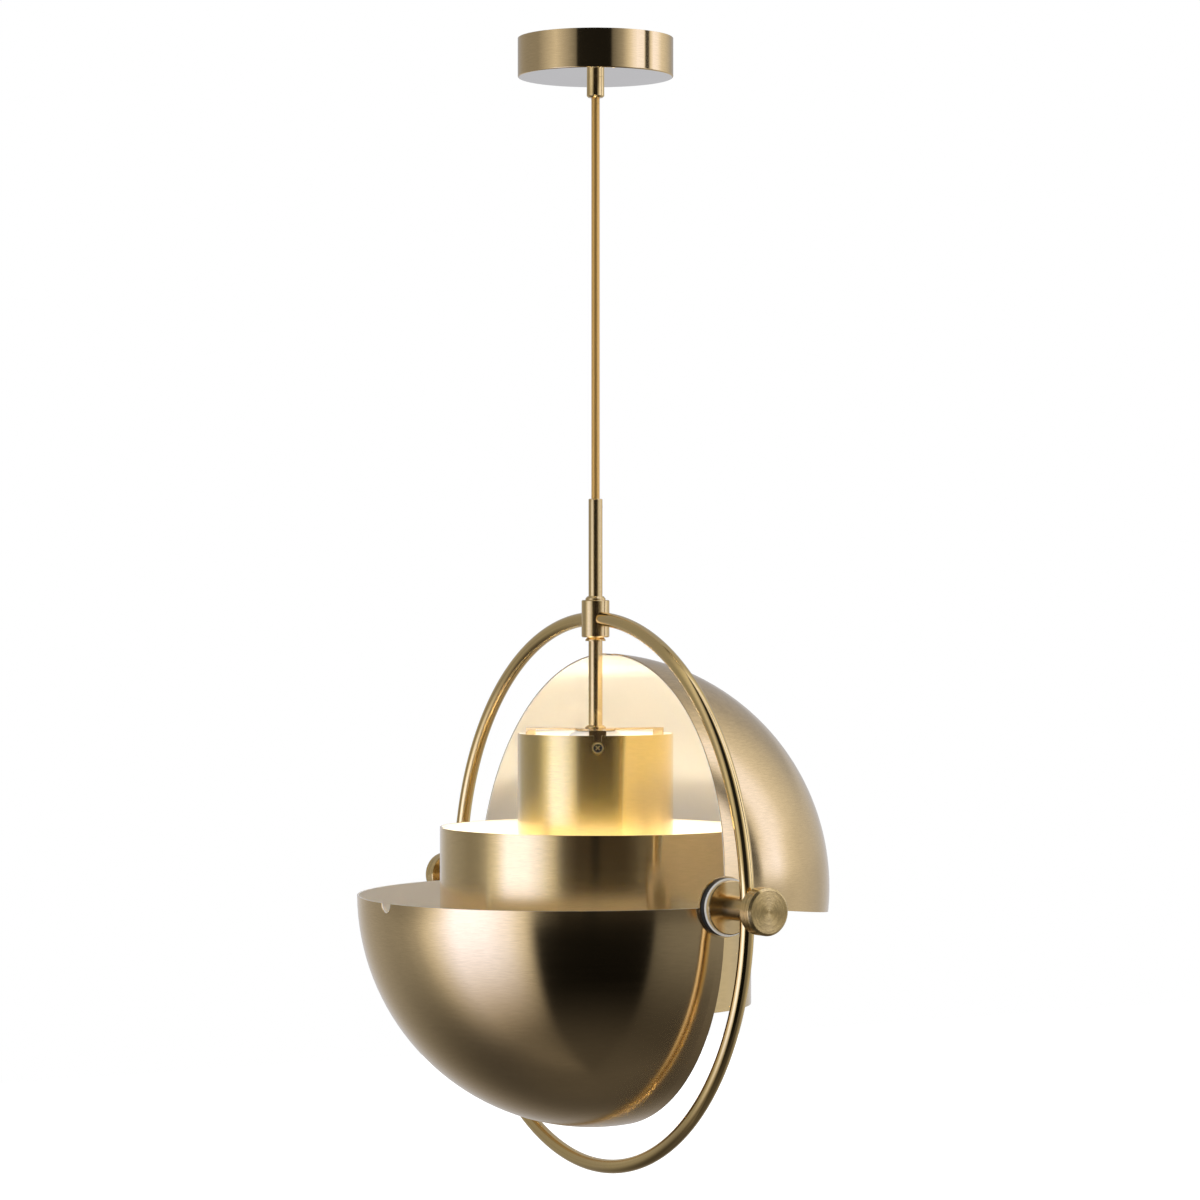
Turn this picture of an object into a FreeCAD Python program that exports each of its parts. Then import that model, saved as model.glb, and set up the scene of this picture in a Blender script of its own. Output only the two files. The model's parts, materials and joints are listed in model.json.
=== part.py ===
import FreeCAD, Part
import math
import os

# A brass pendant lamp.  A canopy and a cord grip carry a textile cord, the cord carries a stem, and the
# stem carries a hub with a large upright ring and, below it, three nested cylinders round a lit bulb.
# Two quarter-sphere shades turn on a horizontal axis between the two sides of the ring.
#
# Millimetres, +Z up.  The origin is the middle of the ceiling plane, X runs along the axis of the
# shades, and the shade called "front" lies towards -Y at rest.

Vec = FreeCAD.Vector
SIDES = {"left": -1, "right": 1}

# ---- driving dimensions -------------------------------------------------------------------------

# fits
running_clearance = 0.10        # radial, where one piece turns on another
assembly_clearance = 0.05       # radial, where pieces are pushed or screwed together
cord_clearance = 0.10           # radial, where the cord is led through a bore

# canopy
canopy_diameter = 100.0
canopy_height = 25.0
canopy_wall = 1.2
canopy_edge_fillet = 0.8

# ceiling bracket, a strap with a stepped middle
bracket_length = 88.0
bracket_width = 18.0
bracket_thickness = 2.0
bracket_step = 6.0
bracket_bridge_length = 40.0
bracket_slope_length = 6.0
bracket_slot_spacing = 69.0
bracket_slot_width = 4.6
bracket_slot_length = 12.0

# threaded nipple between the bracket and the cord grip
nipple_diameter = 8.0
nipple_top_depth = 3.5          # below the ceiling
nipple_in_grip = 5.0
nipple_nut_flats = 13.0
nipple_nut_height = 3.5

# terminal block under the bracket's bridge, beside the nut
terminal_length = 11.0
terminal_width = 26.0
terminal_height = 9.0
terminal_gap = 1.0              # to the nut's corner
terminal_ways = 3
terminal_screw_diameter = 3.0
terminal_screw_depth = 1.2

# cord grip and cord
grip_diameter = 11.3
grip_length = 13.0
grip_chamfer = 1.0
grip_screw_diameter = 3.0
grip_screw_height = 4.5         # above the lower face of the grip
cord_diameter = 5.4
cord_visible_length = 258.0
cord_in_stem = 10.0

# stems and hub
stem_diameter = 9.0
upper_stem_length = 65.0        # from its upper end to the hub
stem_in_hub = 6.0
stem_edge_fillet = 0.5
stem_screw_diameter = 3.0
stem_screw_depth = 5.0          # below the upper end of the stem
hub_diameter = 18.0
hub_height = 24.0
hub_chamfer = 0.6
collar_diameter = 13.0
collar_height = 2.4
foot_collar_diameter = 13.5
foot_collar_height = 2.0
stem_in_holder = 8.0
core_diameter = 2.2
core_spacing = 2.5

# ring
ring_tube_diameter = 9.0
ring_tube_wall = 1.2
ring_end_gap = 7.2              # between the ends of the bent tube, inside the hub

# nested cylinders
sheet = 1.2
small_cylinder_diameter = 100.0
small_cylinder_height = 87.0
drum_diameter = 200.0
drum_height = 113.0
body_height = 233.0             # from the upper rim to the lower rim of the small cylinders
body_drop = 14.7                # from the pivot axis down to the middle of the cylinders

# spider bracket that carries the cylinders
spider_arm_angles = (90.0, 210.0, 330.0)
spider_arm_width = 11.0
spider_thickness = 1.2
spider_hub_diameter = 26.0
spider_above_rim = 2.0
spider_tab_length = 15.0
body_screw_below_rim = 7.6
body_screw_diameter = 4.0
body_screw_head_diameter = 7.7
body_screw_head_height = 2.2
body_screw_slot_play = 0.5       # radial, round the screw in its slot

# brackets between the small cylinders and the drum
drum_bracket_angles = (30.0, 150.0, 270.0)
drum_bracket_bore = 76.0
drum_bracket_thickness = 1.5
drum_bracket_arm_width = 12.0
drum_bracket_tab = 12.0

# lampholder and bulb
holder_diameter = 39.0
holder_cap_top_diameter = 22.0
holder_cap_height = 21.0
holder_cap_dome = 12.0
holder_body_height = 36.0
holder_socket_play = 0.6        # radial, round the bulb's cap
holder_wall_above_socket = 8.0
contact_diameter = 9.0
contact_height = 2.0
bulb_cap_diameter = 26.4
bulb_cap_length = 26.0
bulb_neck_diameter = 28.0
bulb_diameter = 60.0
bulb_length = 105.0             # with its cap
bulb_glass_wall = 1.0

# shades
shade_diameter = 300.0
shade_sheet = 1.2
shade_sector = 92.0             # degrees about the pivot axis
shade_centre_offset = 3.5       # from the pivot axis towards the notched rim
shade_notch_radius = 6.0
front_rim_drop = 0.6            # degrees that the front shade's notched rim lies below level
rear_rim_lean = 3.7             # degrees that the rear shade's notched rim leans back from upright

# pivot at each side of the ring
ear_inset = 1.6                 # from the sphere's pole in to the rear shade's ear
rear_ear_diameter = 34.0
front_ear_diameter = 37.6
ear_washer_diameter = 24.0
ear_washer_thickness = 0.6
rubber_washer_diameter = 35.6
rubber_washer_thickness = 2.0
nylon_washer_diameter = 35.6
nylon_washer_thickness = 2.0
pivot_disc_diameter = 33.2
pivot_disc_thickness = 3.0
pivot_disc_chamfer = 0.5
barrel_diameter = 15.0
barrel_inside_ring = 12.6       # from the disc to the ring
barrel_beyond_ring = 8.5
spindle_diameter = 6.0
spindle_nut_flats = 10.0
spindle_nut_height = 5.0
spindle_beyond_nut = 1.2
spindle_end_play = 0.3
inner_washer_diameter = 18.0
inner_washer_thickness = 1.0
knob_diameter = 29.2
knob_thickness = 10.5
knob_chamfer = 1.5
knob_back_chamfer = 0.5
knob_face_wall = 2.2

# ---- sizes and places that follow from them -----------------------------------------------------

cord_passage = cord_diameter + 2 * cord_clearance

# The stack of pieces along the pivot axis, from the sphere's pole outwards and inwards.
shade_radius = shade_diameter / 2
rear_ear_inner_x = shade_radius - ear_inset
rear_ear_outer_x = rear_ear_inner_x + shade_sheet
front_ear_inner_x = rear_ear_outer_x + ear_washer_thickness
front_ear_outer_x = front_ear_inner_x + shade_sheet
nylon_inner_x = front_ear_outer_x + rubber_washer_thickness
disc_inner_x = nylon_inner_x + nylon_washer_thickness
disc_outer_x = disc_inner_x + pivot_disc_thickness
ring_inner_x = disc_outer_x + barrel_inside_ring
ring_outer_x = ring_inner_x + ring_tube_diameter
barrel_end_x = ring_outer_x + barrel_beyond_ring
knob_inner_x = barrel_end_x + running_clearance
knob_outer_x = knob_inner_x + knob_thickness
nut_outer_x = rear_ear_inner_x - inner_washer_thickness
nut_inner_x = nut_outer_x - spindle_nut_height
spindle_inner_x = nut_inner_x - spindle_beyond_nut
spindle_outer_x = knob_outer_x - knob_face_wall - spindle_end_play
spindle_bore_radius = spindle_diameter / 2 + assembly_clearance
turning_bore_radius = spindle_diameter / 2 + running_clearance
ring_tube_radius = ring_tube_diameter / 2
ring_radius = ring_inner_x + ring_tube_radius

# Heights, from the ceiling down.
canopy_floor_z = -canopy_height
grip_bottom_z = canopy_floor_z - grip_length
stem_top_z = grip_bottom_z - cord_visible_length
hub_top_z = stem_top_z - upper_stem_length
hub_bottom_z = hub_top_z - hub_height
pivot_z = hub_top_z - hub_height / 2 - ring_radius
body_middle_z = pivot_z - body_drop
rim_top_z = body_middle_z + body_height / 2
rim_bottom_z = rim_top_z - body_height
spider_bottom_z = rim_top_z + spider_above_rim
spider_top_z = spider_bottom_z + spider_thickness
drum_top_z = body_middle_z + drum_height / 2
drum_bottom_z = body_middle_z - drum_height / 2
upper_cylinder_bottom_z = rim_top_z - small_cylinder_height
lower_cylinder_top_z = rim_bottom_z + small_cylinder_height
small_inner_radius = small_cylinder_diameter / 2 - sheet
drum_inner_radius = drum_diameter / 2 - sheet

# Heights of the lampholder and bulb, from the spider bracket down.
holder_top_z = spider_bottom_z
holder_joint_z = holder_top_z - holder_cap_height
holder_bottom_z = holder_joint_z - holder_body_height
socket_top_z = holder_joint_z - holder_wall_above_socket
bulb_top_z = socket_top_z - contact_height
glass_top_z = bulb_top_z - bulb_cap_length
bulb_bottom_z = bulb_top_z - bulb_length


# ---- shared shapes ------------------------------------------------------------------------------

def rod(diameter, top_z, bottom_z, x=0.0, y=0.0):
    """An upright cylinder between two heights."""
    return Part.makeCylinder(diameter / 2, top_z - bottom_z, Vec(x, y, bottom_z))


def tube(outer_diameter, inner_diameter, top_z, bottom_z):
    """An upright tube between two heights."""
    return rod(outer_diameter, top_z, bottom_z).cut(rod(inner_diameter, top_z, bottom_z))


def axial(diameter, near_x, far_x, side):
    """A cylinder on the pivot axis, between two distances from the middle, on one side."""
    base = Vec(side * near_x, 0, pivot_z)
    return Part.makeCylinder(diameter / 2, far_x - near_x, base, Vec(side, 0, 0))


def washer(outer_diameter, bore_radius, near_x, far_x, side):
    """A flat ring on the pivot axis."""
    return axial(outer_diameter, near_x, far_x, side).cut(axial(2 * bore_radius, near_x, far_x, side))


def hexagon(flats, height):
    """An upright hexagonal prism that stands on the XY plane."""
    corner = flats / math.sqrt(3)
    points = [Vec(corner * math.cos(math.radians(60 * i)), corner * math.sin(math.radians(60 * i)), 0)
              for i in range(7)]
    return Part.Face(Part.makePolygon(points)).extrude(Vec(0, 0, height))


def box_between(low, high):
    """A box given by two opposite corners."""
    size = Vec(*high) - Vec(*low)
    return Part.makeBox(size.x, size.y, size.z, Vec(*low))


def turned(profile):
    """The solid that an outline of (radius, height) points sweeps about the Z axis."""
    points = [Vec(r, 0, z) for r, z in profile]
    face = Part.Face(Part.makePolygon(points + points[:1]))
    return face.revolve(Vec(0, 0, 0), Vec(0, 0, 1), 360)


def about_z(shape, degrees):
    """A copy of the shape, turned about the lamp's upright axis."""
    copy = shape.copy()
    copy.rotate(Vec(0, 0, 0), Vec(0, 0, 1), degrees)
    return copy


def about_pivot(shape, degrees):
    """A copy of the shape, turned about the shades' axis; positive goes from -Y up towards +Z."""
    copy = shape.copy()
    copy.rotate(Vec(0, 0, pivot_z), Vec(-1, 0, 0), degrees)
    return copy


def edges_at_height(shape, z):
    """The circular edges of an upright turned shape that lie at one height."""
    return [edge for edge in shape.Edges
            if abs(edge.BoundBox.ZMin - z) < 1e-6 and abs(edge.BoundBox.ZMax - z) < 1e-6]


def edges_at_x(shape, x):
    """The edges of a shape on the pivot axis that lie at one distance along X."""
    return [edge for edge in shape.Edges
            if abs(edge.BoundBox.XMin - x) < 1e-6 and abs(edge.BoundBox.XMax - x) < 1e-6]


# ---- ceiling end --------------------------------------------------------------------------------

def make_ceiling_bracket():
    """A strap whose ends lie on the ceiling and whose middle steps down to carry the nipple."""
    half_length = bracket_length / 2
    half_bridge = bracket_bridge_length / 2
    slope = bracket_slope_length
    lean = bracket_thickness / 2
    outline = [(-half_length, 0), (-half_bridge - slope, 0), (-half_bridge, -bracket_step),
               (half_bridge, -bracket_step), (half_bridge + slope, 0), (half_length, 0),
               (half_length, -bracket_thickness), (half_bridge + slope - lean, -bracket_thickness),
               (half_bridge - lean, -bracket_step - bracket_thickness),
               (lean - half_bridge, -bracket_step - bracket_thickness),
               (lean - half_bridge - slope, -bracket_thickness), (-half_length, -bracket_thickness)]
    points = [Vec(x, -bracket_width / 2, z) for x, z in outline]
    face = Part.Face(Part.makePolygon(points + points[:1]))
    strap = face.extrude(Vec(0, bracket_width, 0))
    run = (bracket_slot_length - bracket_slot_width) / 2
    for side in SIDES.values():
        middle = side * bracket_slot_spacing / 2
        for x in (middle - run, middle + run):
            strap = strap.cut(rod(bracket_slot_width, 1, -bracket_thickness - 1, x))
        strap = strap.cut(box_between((middle - run, -bracket_slot_width / 2, -bracket_thickness - 1),
                                      (middle + run, bracket_slot_width / 2, 1)))
    return strap.cut(rod(nipple_diameter + 2 * assembly_clearance, 0, -canopy_height))


def make_nipple_nut():
    """The hexagon nut that locks the nipple under the bracket."""
    top_z = -bracket_step - bracket_thickness
    nut = hexagon(nipple_nut_flats, nipple_nut_height)
    nut.translate(Vec(0, 0, top_z - nipple_nut_height))
    return nut.cut(rod(nipple_diameter + 2 * assembly_clearance, 0, -canopy_height))


def make_threaded_nipple():
    """The hollow threaded rod that joins the bracket to the cord grip."""
    return tube(nipple_diameter, cord_passage, -nipple_top_depth, canopy_floor_z - nipple_in_grip)


def make_terminal_block():
    """The block that joins the cord to the house wiring, fixed under the bracket's bridge."""
    top_z = -bracket_step - bracket_thickness
    bottom_z = top_z - terminal_height
    near_x = nipple_nut_flats / math.sqrt(3) + terminal_gap
    block = box_between((near_x, -terminal_width / 2, bottom_z),
                        (near_x + terminal_length, terminal_width / 2, top_z))
    pitch = terminal_width / terminal_ways
    for way in range(terminal_ways):
        y = (way + 0.5) * pitch - terminal_width / 2
        for x in (near_x + terminal_length / 4, near_x + 3 * terminal_length / 4):
            block = block.cut(rod(terminal_screw_diameter, bottom_z + terminal_screw_depth, bottom_z, x, y))
    return block


def make_canopy_cup():
    """The shallow turned cup that covers the bracket."""
    outside = rod(canopy_diameter, 0, canopy_floor_z)
    outside = outside.makeFillet(canopy_edge_fillet, edges_at_height(outside, canopy_floor_z))
    inside = rod(canopy_diameter - 2 * canopy_wall, 0, canopy_floor_z + canopy_wall)
    hole = rod(nipple_diameter + 2 * assembly_clearance, 0, canopy_floor_z)
    return outside.cut(inside).cut(hole)


def make_cord_grip():
    """The small turned grip under the canopy, with a chamfered mouth for the cord."""
    grip = rod(grip_diameter, canopy_floor_z, grip_bottom_z)
    grip = grip.makeChamfer(grip_chamfer, edges_at_height(grip, grip_bottom_z))
    socket = rod(nipple_diameter + 2 * assembly_clearance, canopy_floor_z, canopy_floor_z - nipple_in_grip)
    bore = rod(cord_passage, canopy_floor_z, grip_bottom_z)
    screw_hole = Part.makeCylinder(grip_screw_diameter / 2 + assembly_clearance, grip_diameter,
                                   Vec(0, 0, grip_bottom_z + grip_screw_height), Vec(0, 1, 0))
    return grip.cut(socket).cut(bore).cut(screw_hole)


def make_set_screw(diameter, z, surface_radius):
    """A small headless screw from behind, whose tip bears on the cord."""
    tip = cord_diameter / 2
    screw = Part.makeCylinder(diameter / 2, surface_radius - tip, Vec(0, tip, z), Vec(0, 1, 0))
    socket_depth = (surface_radius - tip) / 2
    key = hexagon(diameter / 2, socket_depth)
    key.rotate(Vec(0, 0, 0), Vec(1, 0, 0), -90)
    key.translate(Vec(0, surface_radius - socket_depth, z))
    return screw.cut(key)


def make_suspension_cord():
    """The textile cord, straight under the lamp's weight, from the nipple into the upper stem."""
    return rod(cord_diameter, canopy_floor_z - nipple_in_grip, stem_top_z - cord_in_stem)


# ---- stems, hub and ring ------------------------------------------------------------------------

def make_upper_stem():
    """The tube that holds the end of the cord and screws into the hub."""
    stem = rod(stem_diameter, stem_top_z, hub_top_z - stem_in_hub)
    stem = stem.makeFillet(stem_edge_fillet, edges_at_height(stem, stem_top_z))
    bore = rod(cord_passage, stem_top_z, hub_top_z - stem_in_hub)
    screw_hole = Part.makeCylinder(stem_screw_diameter / 2 + assembly_clearance, stem_diameter,
                                   Vec(0, 0, stem_top_z - stem_screw_depth), Vec(0, 1, 0))
    return stem.cut(bore).cut(screw_hole)


def make_collar(diameter, height, top_z):
    """A thin turned collar round a stem, hollowed a little towards its edge."""
    middle_radius = stem_diameter / 2 + 0.8
    outline = [(stem_diameter / 2 + assembly_clearance, top_z), (middle_radius, top_z),
               (diameter / 2, top_z - 0.6 * height), (diameter / 2, top_z - height),
               (stem_diameter / 2 + assembly_clearance, top_z - height)]
    return turned(outline)


def ring_torus(tube_radius):
    """A full torus on the ring's centreline."""
    return Part.makeTorus(ring_radius, tube_radius, Vec(0, 0, pivot_z), Vec(0, 1, 0))


def make_ring():
    """The upright ring, of three bent tubes whose ends meet out of sight in the hub and the barrels."""
    torus = ring_torus(ring_tube_radius).cut(ring_torus(ring_tube_radius - ring_tube_wall))
    for side in SIDES.values():
        torus = torus.cut(axial(2 * spindle_bore_radius, ring_inner_x - 1, ring_outer_x + 1, side))
    reach = ring_radius + hub_diameter
    upper = (pivot_z, pivot_z + reach)
    boxes = {"ring_upper_left": box_between((-reach, -hub_diameter, upper[0]),
                                            (-ring_end_gap / 2, hub_diameter, upper[1])),
             "ring_upper_right": box_between((ring_end_gap / 2, -hub_diameter, upper[0]),
                                             (reach, hub_diameter, upper[1])),
             "ring_lower": box_between((-reach, -hub_diameter, pivot_z - reach),
                                       (reach, hub_diameter, pivot_z))}
    return {name: torus.common(box) for name, box in boxes.items()}


def make_hub_sleeve():
    """The turned sleeve that holds both stems and both ends of the ring."""
    hub = rod(hub_diameter, hub_top_z, hub_bottom_z)
    ends = edges_at_height(hub, hub_top_z) + edges_at_height(hub, hub_bottom_z)
    hub = hub.makeChamfer(hub_chamfer, ends)
    socket = stem_diameter + 2 * assembly_clearance
    hub = hub.cut(rod(cord_passage, hub_top_z, hub_bottom_z))
    hub = hub.cut(rod(socket, hub_top_z, hub_top_z - stem_in_hub))
    hub = hub.cut(rod(socket, hub_bottom_z + stem_in_hub, hub_bottom_z))
    return hub.cut(ring_torus(ring_tube_radius + assembly_clearance))


def make_lower_stem():
    """The tube from the hub through the spider bracket into the lampholder."""
    return tube(stem_diameter, cord_passage, hub_bottom_z + stem_in_hub, holder_top_z - stem_in_holder)


def make_core_wires():
    """The two insulated cores from the end of the cord to the lampholder."""
    cores = [rod(core_diameter, stem_top_z - cord_in_stem, holder_top_z - stem_in_holder, 0, y)
             for y in (-core_spacing / 2, core_spacing / 2)]
    return Part.Compound(cores)


# ---- cylinders and what carries them ------------------------------------------------------------

def body_screw_z():
    """The height of the three screws that carry the cylinders."""
    return rim_top_z - body_screw_below_rim


def radial_rod(diameter, near_radius, far_radius, z, degrees):
    """A cylinder that points away from the lamp's upright axis."""
    rod_x = Part.makeCylinder(diameter / 2, far_radius - near_radius, Vec(near_radius, 0, z), Vec(1, 0, 0))
    return about_z(rod_x, degrees)


def make_spider_bracket():
    """Three flat arms on the stem whose ends turn down inside the upper cylinder."""
    reach = small_inner_radius - assembly_clearance
    half_width = spider_arm_width / 2
    plate = rod(spider_hub_diameter, spider_top_z, spider_bottom_z)
    round_end = rod(2 * reach, spider_top_z, spider_top_z - spider_tab_length)
    hollow = rod(2 * (reach - spider_thickness), spider_bottom_z, spider_top_z - spider_tab_length)
    for degrees in spider_arm_angles:
        bar = box_between((0, -half_width, spider_top_z - spider_tab_length),
                          (reach, half_width, spider_top_z))
        arm = bar.common(round_end).cut(hollow)
        plate = plate.fuse(about_z(arm, degrees))
    plate = plate.cut(rod(stem_diameter + 2 * assembly_clearance, spider_top_z, spider_bottom_z))
    for degrees in spider_arm_angles:
        hole = radial_rod(body_screw_diameter + 2 * assembly_clearance, reach - 5, reach + 5,
                          body_screw_z(), degrees)
        plate = plate.cut(hole)
    return plate.removeSplitter()


def make_body_screws():
    """The three screws whose heads bear on the outside of the upper cylinder."""
    wall_radius = small_cylinder_diameter / 2
    screws = []
    for degrees in spider_arm_angles:
        shank = radial_rod(body_screw_diameter, wall_radius - 6, wall_radius + 0.5, body_screw_z(), degrees)
        head = radial_rod(body_screw_head_diameter, wall_radius, wall_radius + body_screw_head_height,
                          body_screw_z(), degrees)
        recess = about_z(screw_recess(wall_radius + body_screw_head_height), degrees)
        screws.append(shank.fuse(head).cut(recess).removeSplitter())
    return Part.Compound(screws)


def screw_recess(face_radius):
    """The cross recess in a screw head that faces along +X."""
    depth = body_screw_head_height / 2
    length = 0.55 * body_screw_head_diameter
    width = 0.16 * body_screw_head_diameter
    z = body_screw_z()
    upright = box_between((face_radius - depth, -width / 2, z - length / 2),
                          (face_radius + 1, width / 2, z + length / 2))
    level = box_between((face_radius - depth, -length / 2, z - width / 2),
                        (face_radius + 1, length / 2, z + width / 2))
    return upright.fuse(level)


def make_upper_cylinder():
    """The upper small cylinder, open at both ends, with a slot down to each screw."""
    wall = tube(small_cylinder_diameter, 2 * small_inner_radius, rim_top_z, upper_cylinder_bottom_z)
    outer = small_cylinder_diameter / 2
    width = body_screw_diameter + 2 * body_screw_slot_play
    for degrees in spider_arm_angles:
        slot = box_between((outer - 5, -width / 2, body_screw_z()), (outer + 5, width / 2, rim_top_z + 1))
        end = radial_rod(width, outer - 5, outer + 5, body_screw_z(), 0)
        wall = wall.cut(about_z(slot.fuse(end), degrees))
    return wall


def make_drum_bracket(plate_z, direction):
    """A holed plate with three arms to the drum; its tabs turn towards the drum's middle."""
    half_width = drum_bracket_arm_width / 2
    reach = drum_inner_radius - assembly_clearance
    low_z = min(plate_z, plate_z + direction * drum_bracket_thickness)
    high_z = low_z + drum_bracket_thickness
    plate = rod(small_cylinder_diameter, high_z, low_z)
    tab_low_z = min(low_z, high_z + direction * drum_bracket_tab)
    tab_high_z = max(high_z, low_z + direction * drum_bracket_tab)
    tab_ring = tube(2 * reach, 2 * (reach - drum_bracket_thickness), tab_high_z, tab_low_z)
    disc = rod(2 * reach, high_z, low_z)
    for degrees in drum_bracket_angles:
        arm = box_between((0, -half_width, low_z), (reach, half_width, high_z)).common(disc)
        tab = box_between((reach / 2, -half_width, tab_low_z), (reach, half_width, tab_high_z))
        plate = plate.fuse(about_z(arm.fuse(tab.common(tab_ring)), degrees))
    return plate.cut(rod(drum_bracket_bore, tab_high_z, tab_low_z)).removeSplitter()


# ---- lampholder and bulb ------------------------------------------------------------------------

def make_lampholder_cap():
    """The domed upper half of the lampholder, screwed on the end of the lower stem."""
    outer = holder_diameter / 2
    top = holder_cap_top_diameter / 2
    dome_z = holder_top_z - holder_cap_dome
    shoulder = Vec(top + 0.72 * (outer - top), 0, holder_top_z - 0.28 * holder_cap_dome)
    bore = stem_diameter / 2 + assembly_clearance
    cavity = outer - 2.0
    cavity_z = holder_top_z - holder_cap_dome
    edges = [Part.Arc(Vec(top, 0, holder_top_z), shoulder, Vec(outer, 0, dome_z)).toShape()]
    corners = [(outer, dome_z), (outer, holder_joint_z), (cavity, holder_joint_z), (cavity, cavity_z),
               (bore, cavity_z), (bore, holder_top_z), (top, holder_top_z)]
    for (r0, z0), (r1, z1) in zip(corners, corners[1:]):
        edges.append(Part.LineSegment(Vec(r0, 0, z0), Vec(r1, 0, z1)).toShape())
    return Part.Face(Part.Wire(edges)).revolve(Vec(0, 0, 0), Vec(0, 0, 1), 360)


def make_lampholder_body():
    """The lower half of the lampholder, with the socket for the bulb's cap."""
    body = rod(holder_diameter, holder_joint_z, holder_bottom_z)
    body = body.makeChamfer(1.5, edges_at_height(body, holder_bottom_z))
    return body.cut(rod(bulb_cap_diameter + 2 * holder_socket_play, socket_top_z, holder_bottom_z))


def make_holder_contact():
    """The centre contact at the bottom of the socket."""
    return rod(contact_diameter, socket_top_z, socket_top_z - contact_height)


def make_bulb_cap():
    """The screw cap of the bulb, with its thread as rounded rings and its contact tip."""
    radius = bulb_cap_diameter / 2
    tip_length = 4.0
    thread_top = bulb_top_z - tip_length - 1.0
    pitch = 3.6
    turns = 5
    outline = [(0, bulb_top_z), (contact_diameter / 2, bulb_top_z), (radius - 3.5, thread_top)]
    for turn in range(turns):
        z = thread_top - turn * pitch
        outline += [(radius - 1.2, z), (radius, z - 0.35 * pitch), (radius, z - 0.65 * pitch)]
    outline += [(radius - 1.2, thread_top - turns * pitch), (radius - 1.2, glass_top_z), (0, glass_top_z)]
    return turned(outline)


def bulb_outline(inset):
    """The bulb's pear shape as a solid, drawn in by an inset: a round ball, then a flared neck."""
    radius = bulb_diameter / 2 - inset
    neck = bulb_neck_diameter / 2 - inset
    ball_z = bulb_bottom_z + bulb_diameter / 2
    joint_angle = math.radians(38)
    joint = Vec(radius * math.cos(joint_angle), 0, ball_z + radius * math.sin(joint_angle))
    throat = Vec(neck + 0.27 * (joint.x - neck), 0, joint.z + 0.45 * (glass_top_z - joint.z))
    bottom = Vec(0, 0, ball_z - radius)
    widest = Vec(radius, 0, ball_z)
    top = Vec(neck, 0, glass_top_z)
    centre_top = Vec(0, 0, glass_top_z)

    def on_ball(angle):
        return Vec(radius * math.cos(angle), 0, ball_z + radius * math.sin(angle))

    edges = [Part.Arc(bottom, on_ball(-math.pi / 4), widest).toShape(),
             Part.Arc(widest, on_ball(joint_angle / 2), joint).toShape(),
             Part.Arc(joint, throat, top).toShape(),
             Part.LineSegment(top, centre_top).toShape(),
             Part.LineSegment(centre_top, bottom).toShape()]
    return Part.Face(Part.Wire(edges)).revolve(Vec(0, 0, 0), Vec(0, 0, 1), 360)


def make_bulb_glass():
    """The glass of the bulb, open where it enters the cap."""
    return bulb_outline(0).cut(bulb_outline(bulb_glass_wall))


# ---- shades -------------------------------------------------------------------------------------

def half_space(degrees):
    """A large block on the far side of a plane through the pivot axis, as seen from a rim."""
    size = 2 * shade_diameter
    block = box_between((-size, -size, pivot_z), (size, size, pivot_z + size))
    return about_pivot(block, degrees)


def shade_wedge():
    """The space between the two rims of a shade."""
    size = 2 * shade_diameter
    block = box_between((-size, -size, pivot_z - size), (size, size, pivot_z))
    return block.cut(half_space(180 - shade_sector))


def make_ear(inner_x, outer_x, diameter, side):
    """The round ear at a pole, with the short wall that joins it to the sphere."""
    farthest = diameter / 2 + shade_centre_offset
    root_x = math.sqrt((shade_radius - shade_sheet) ** 2 - farthest ** 2)
    wall = washer(diameter, diameter / 2 - shade_sheet, root_x, outer_x, side).common(shade_wedge())
    bore = axial(2 * turning_bore_radius, inner_x, outer_x, side)
    return axial(diameter, inner_x, outer_x, side).fuse(wall).cut(bore)


def make_shade(ear_inner_x, ear_outer_x, ear_diameter):
    """A part of a sphere between two half planes through the pivot axis, with an ear at each pole.

    It is made with its notched rim level, pointing to -Y, and its body below that rim.
    """
    centre = Vec(0, -shade_centre_offset, pivot_z)
    outer = Part.makeSphere(shade_radius, centre)
    inner = Part.makeSphere(shade_radius - shade_sheet, centre)
    shade = outer.cut(inner).cut(half_space(0)).cut(half_space(180 - shade_sector))
    hole = ear_diameter - shade_sheet
    for side in SIDES.values():
        shade = shade.cut(axial(hole, 0, shade_diameter, side))
        shade = shade.fuse(make_ear(ear_inner_x, ear_outer_x, ear_diameter, side))
    notch = Part.makeCylinder(shade_notch_radius, shade_radius, Vec(0, -shade_radius / 2, pivot_z),
                              Vec(0, -1, 0))
    return shade.cut(notch).removeSplitter()


# ---- pivot at each side of the ring -------------------------------------------------------------

def make_pivot_barrel(side):
    """The turned neck that the ring's tube passes through."""
    barrel = washer(barrel_diameter, spindle_bore_radius, disc_outer_x, barrel_end_x, side)
    return barrel.cut(ring_torus(ring_tube_radius + assembly_clearance))


def make_pivot_disc(side):
    """The brass disc between the neck and the washers."""
    disc = axial(pivot_disc_diameter, disc_inner_x, disc_outer_x, side)
    disc = disc.makeChamfer(pivot_disc_chamfer, edges_at_x(disc, side * disc_outer_x))
    return disc.cut(axial(2 * spindle_bore_radius, disc_inner_x, disc_outer_x, side))


def make_spindle_nut(side):
    """The nut on the inner end of the spindle."""
    nut = hexagon(spindle_nut_flats, spindle_nut_height)
    nut.rotate(Vec(0, 0, 0), Vec(0, 1, 0), 90)
    nut.translate(Vec(-spindle_nut_height / 2, 0, pivot_z))
    nut.translate(Vec(side * (nut_inner_x + nut_outer_x) / 2, 0, 0))
    return nut.cut(axial(2 * spindle_bore_radius, nut_inner_x - 1, nut_outer_x + 1, side))


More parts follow.
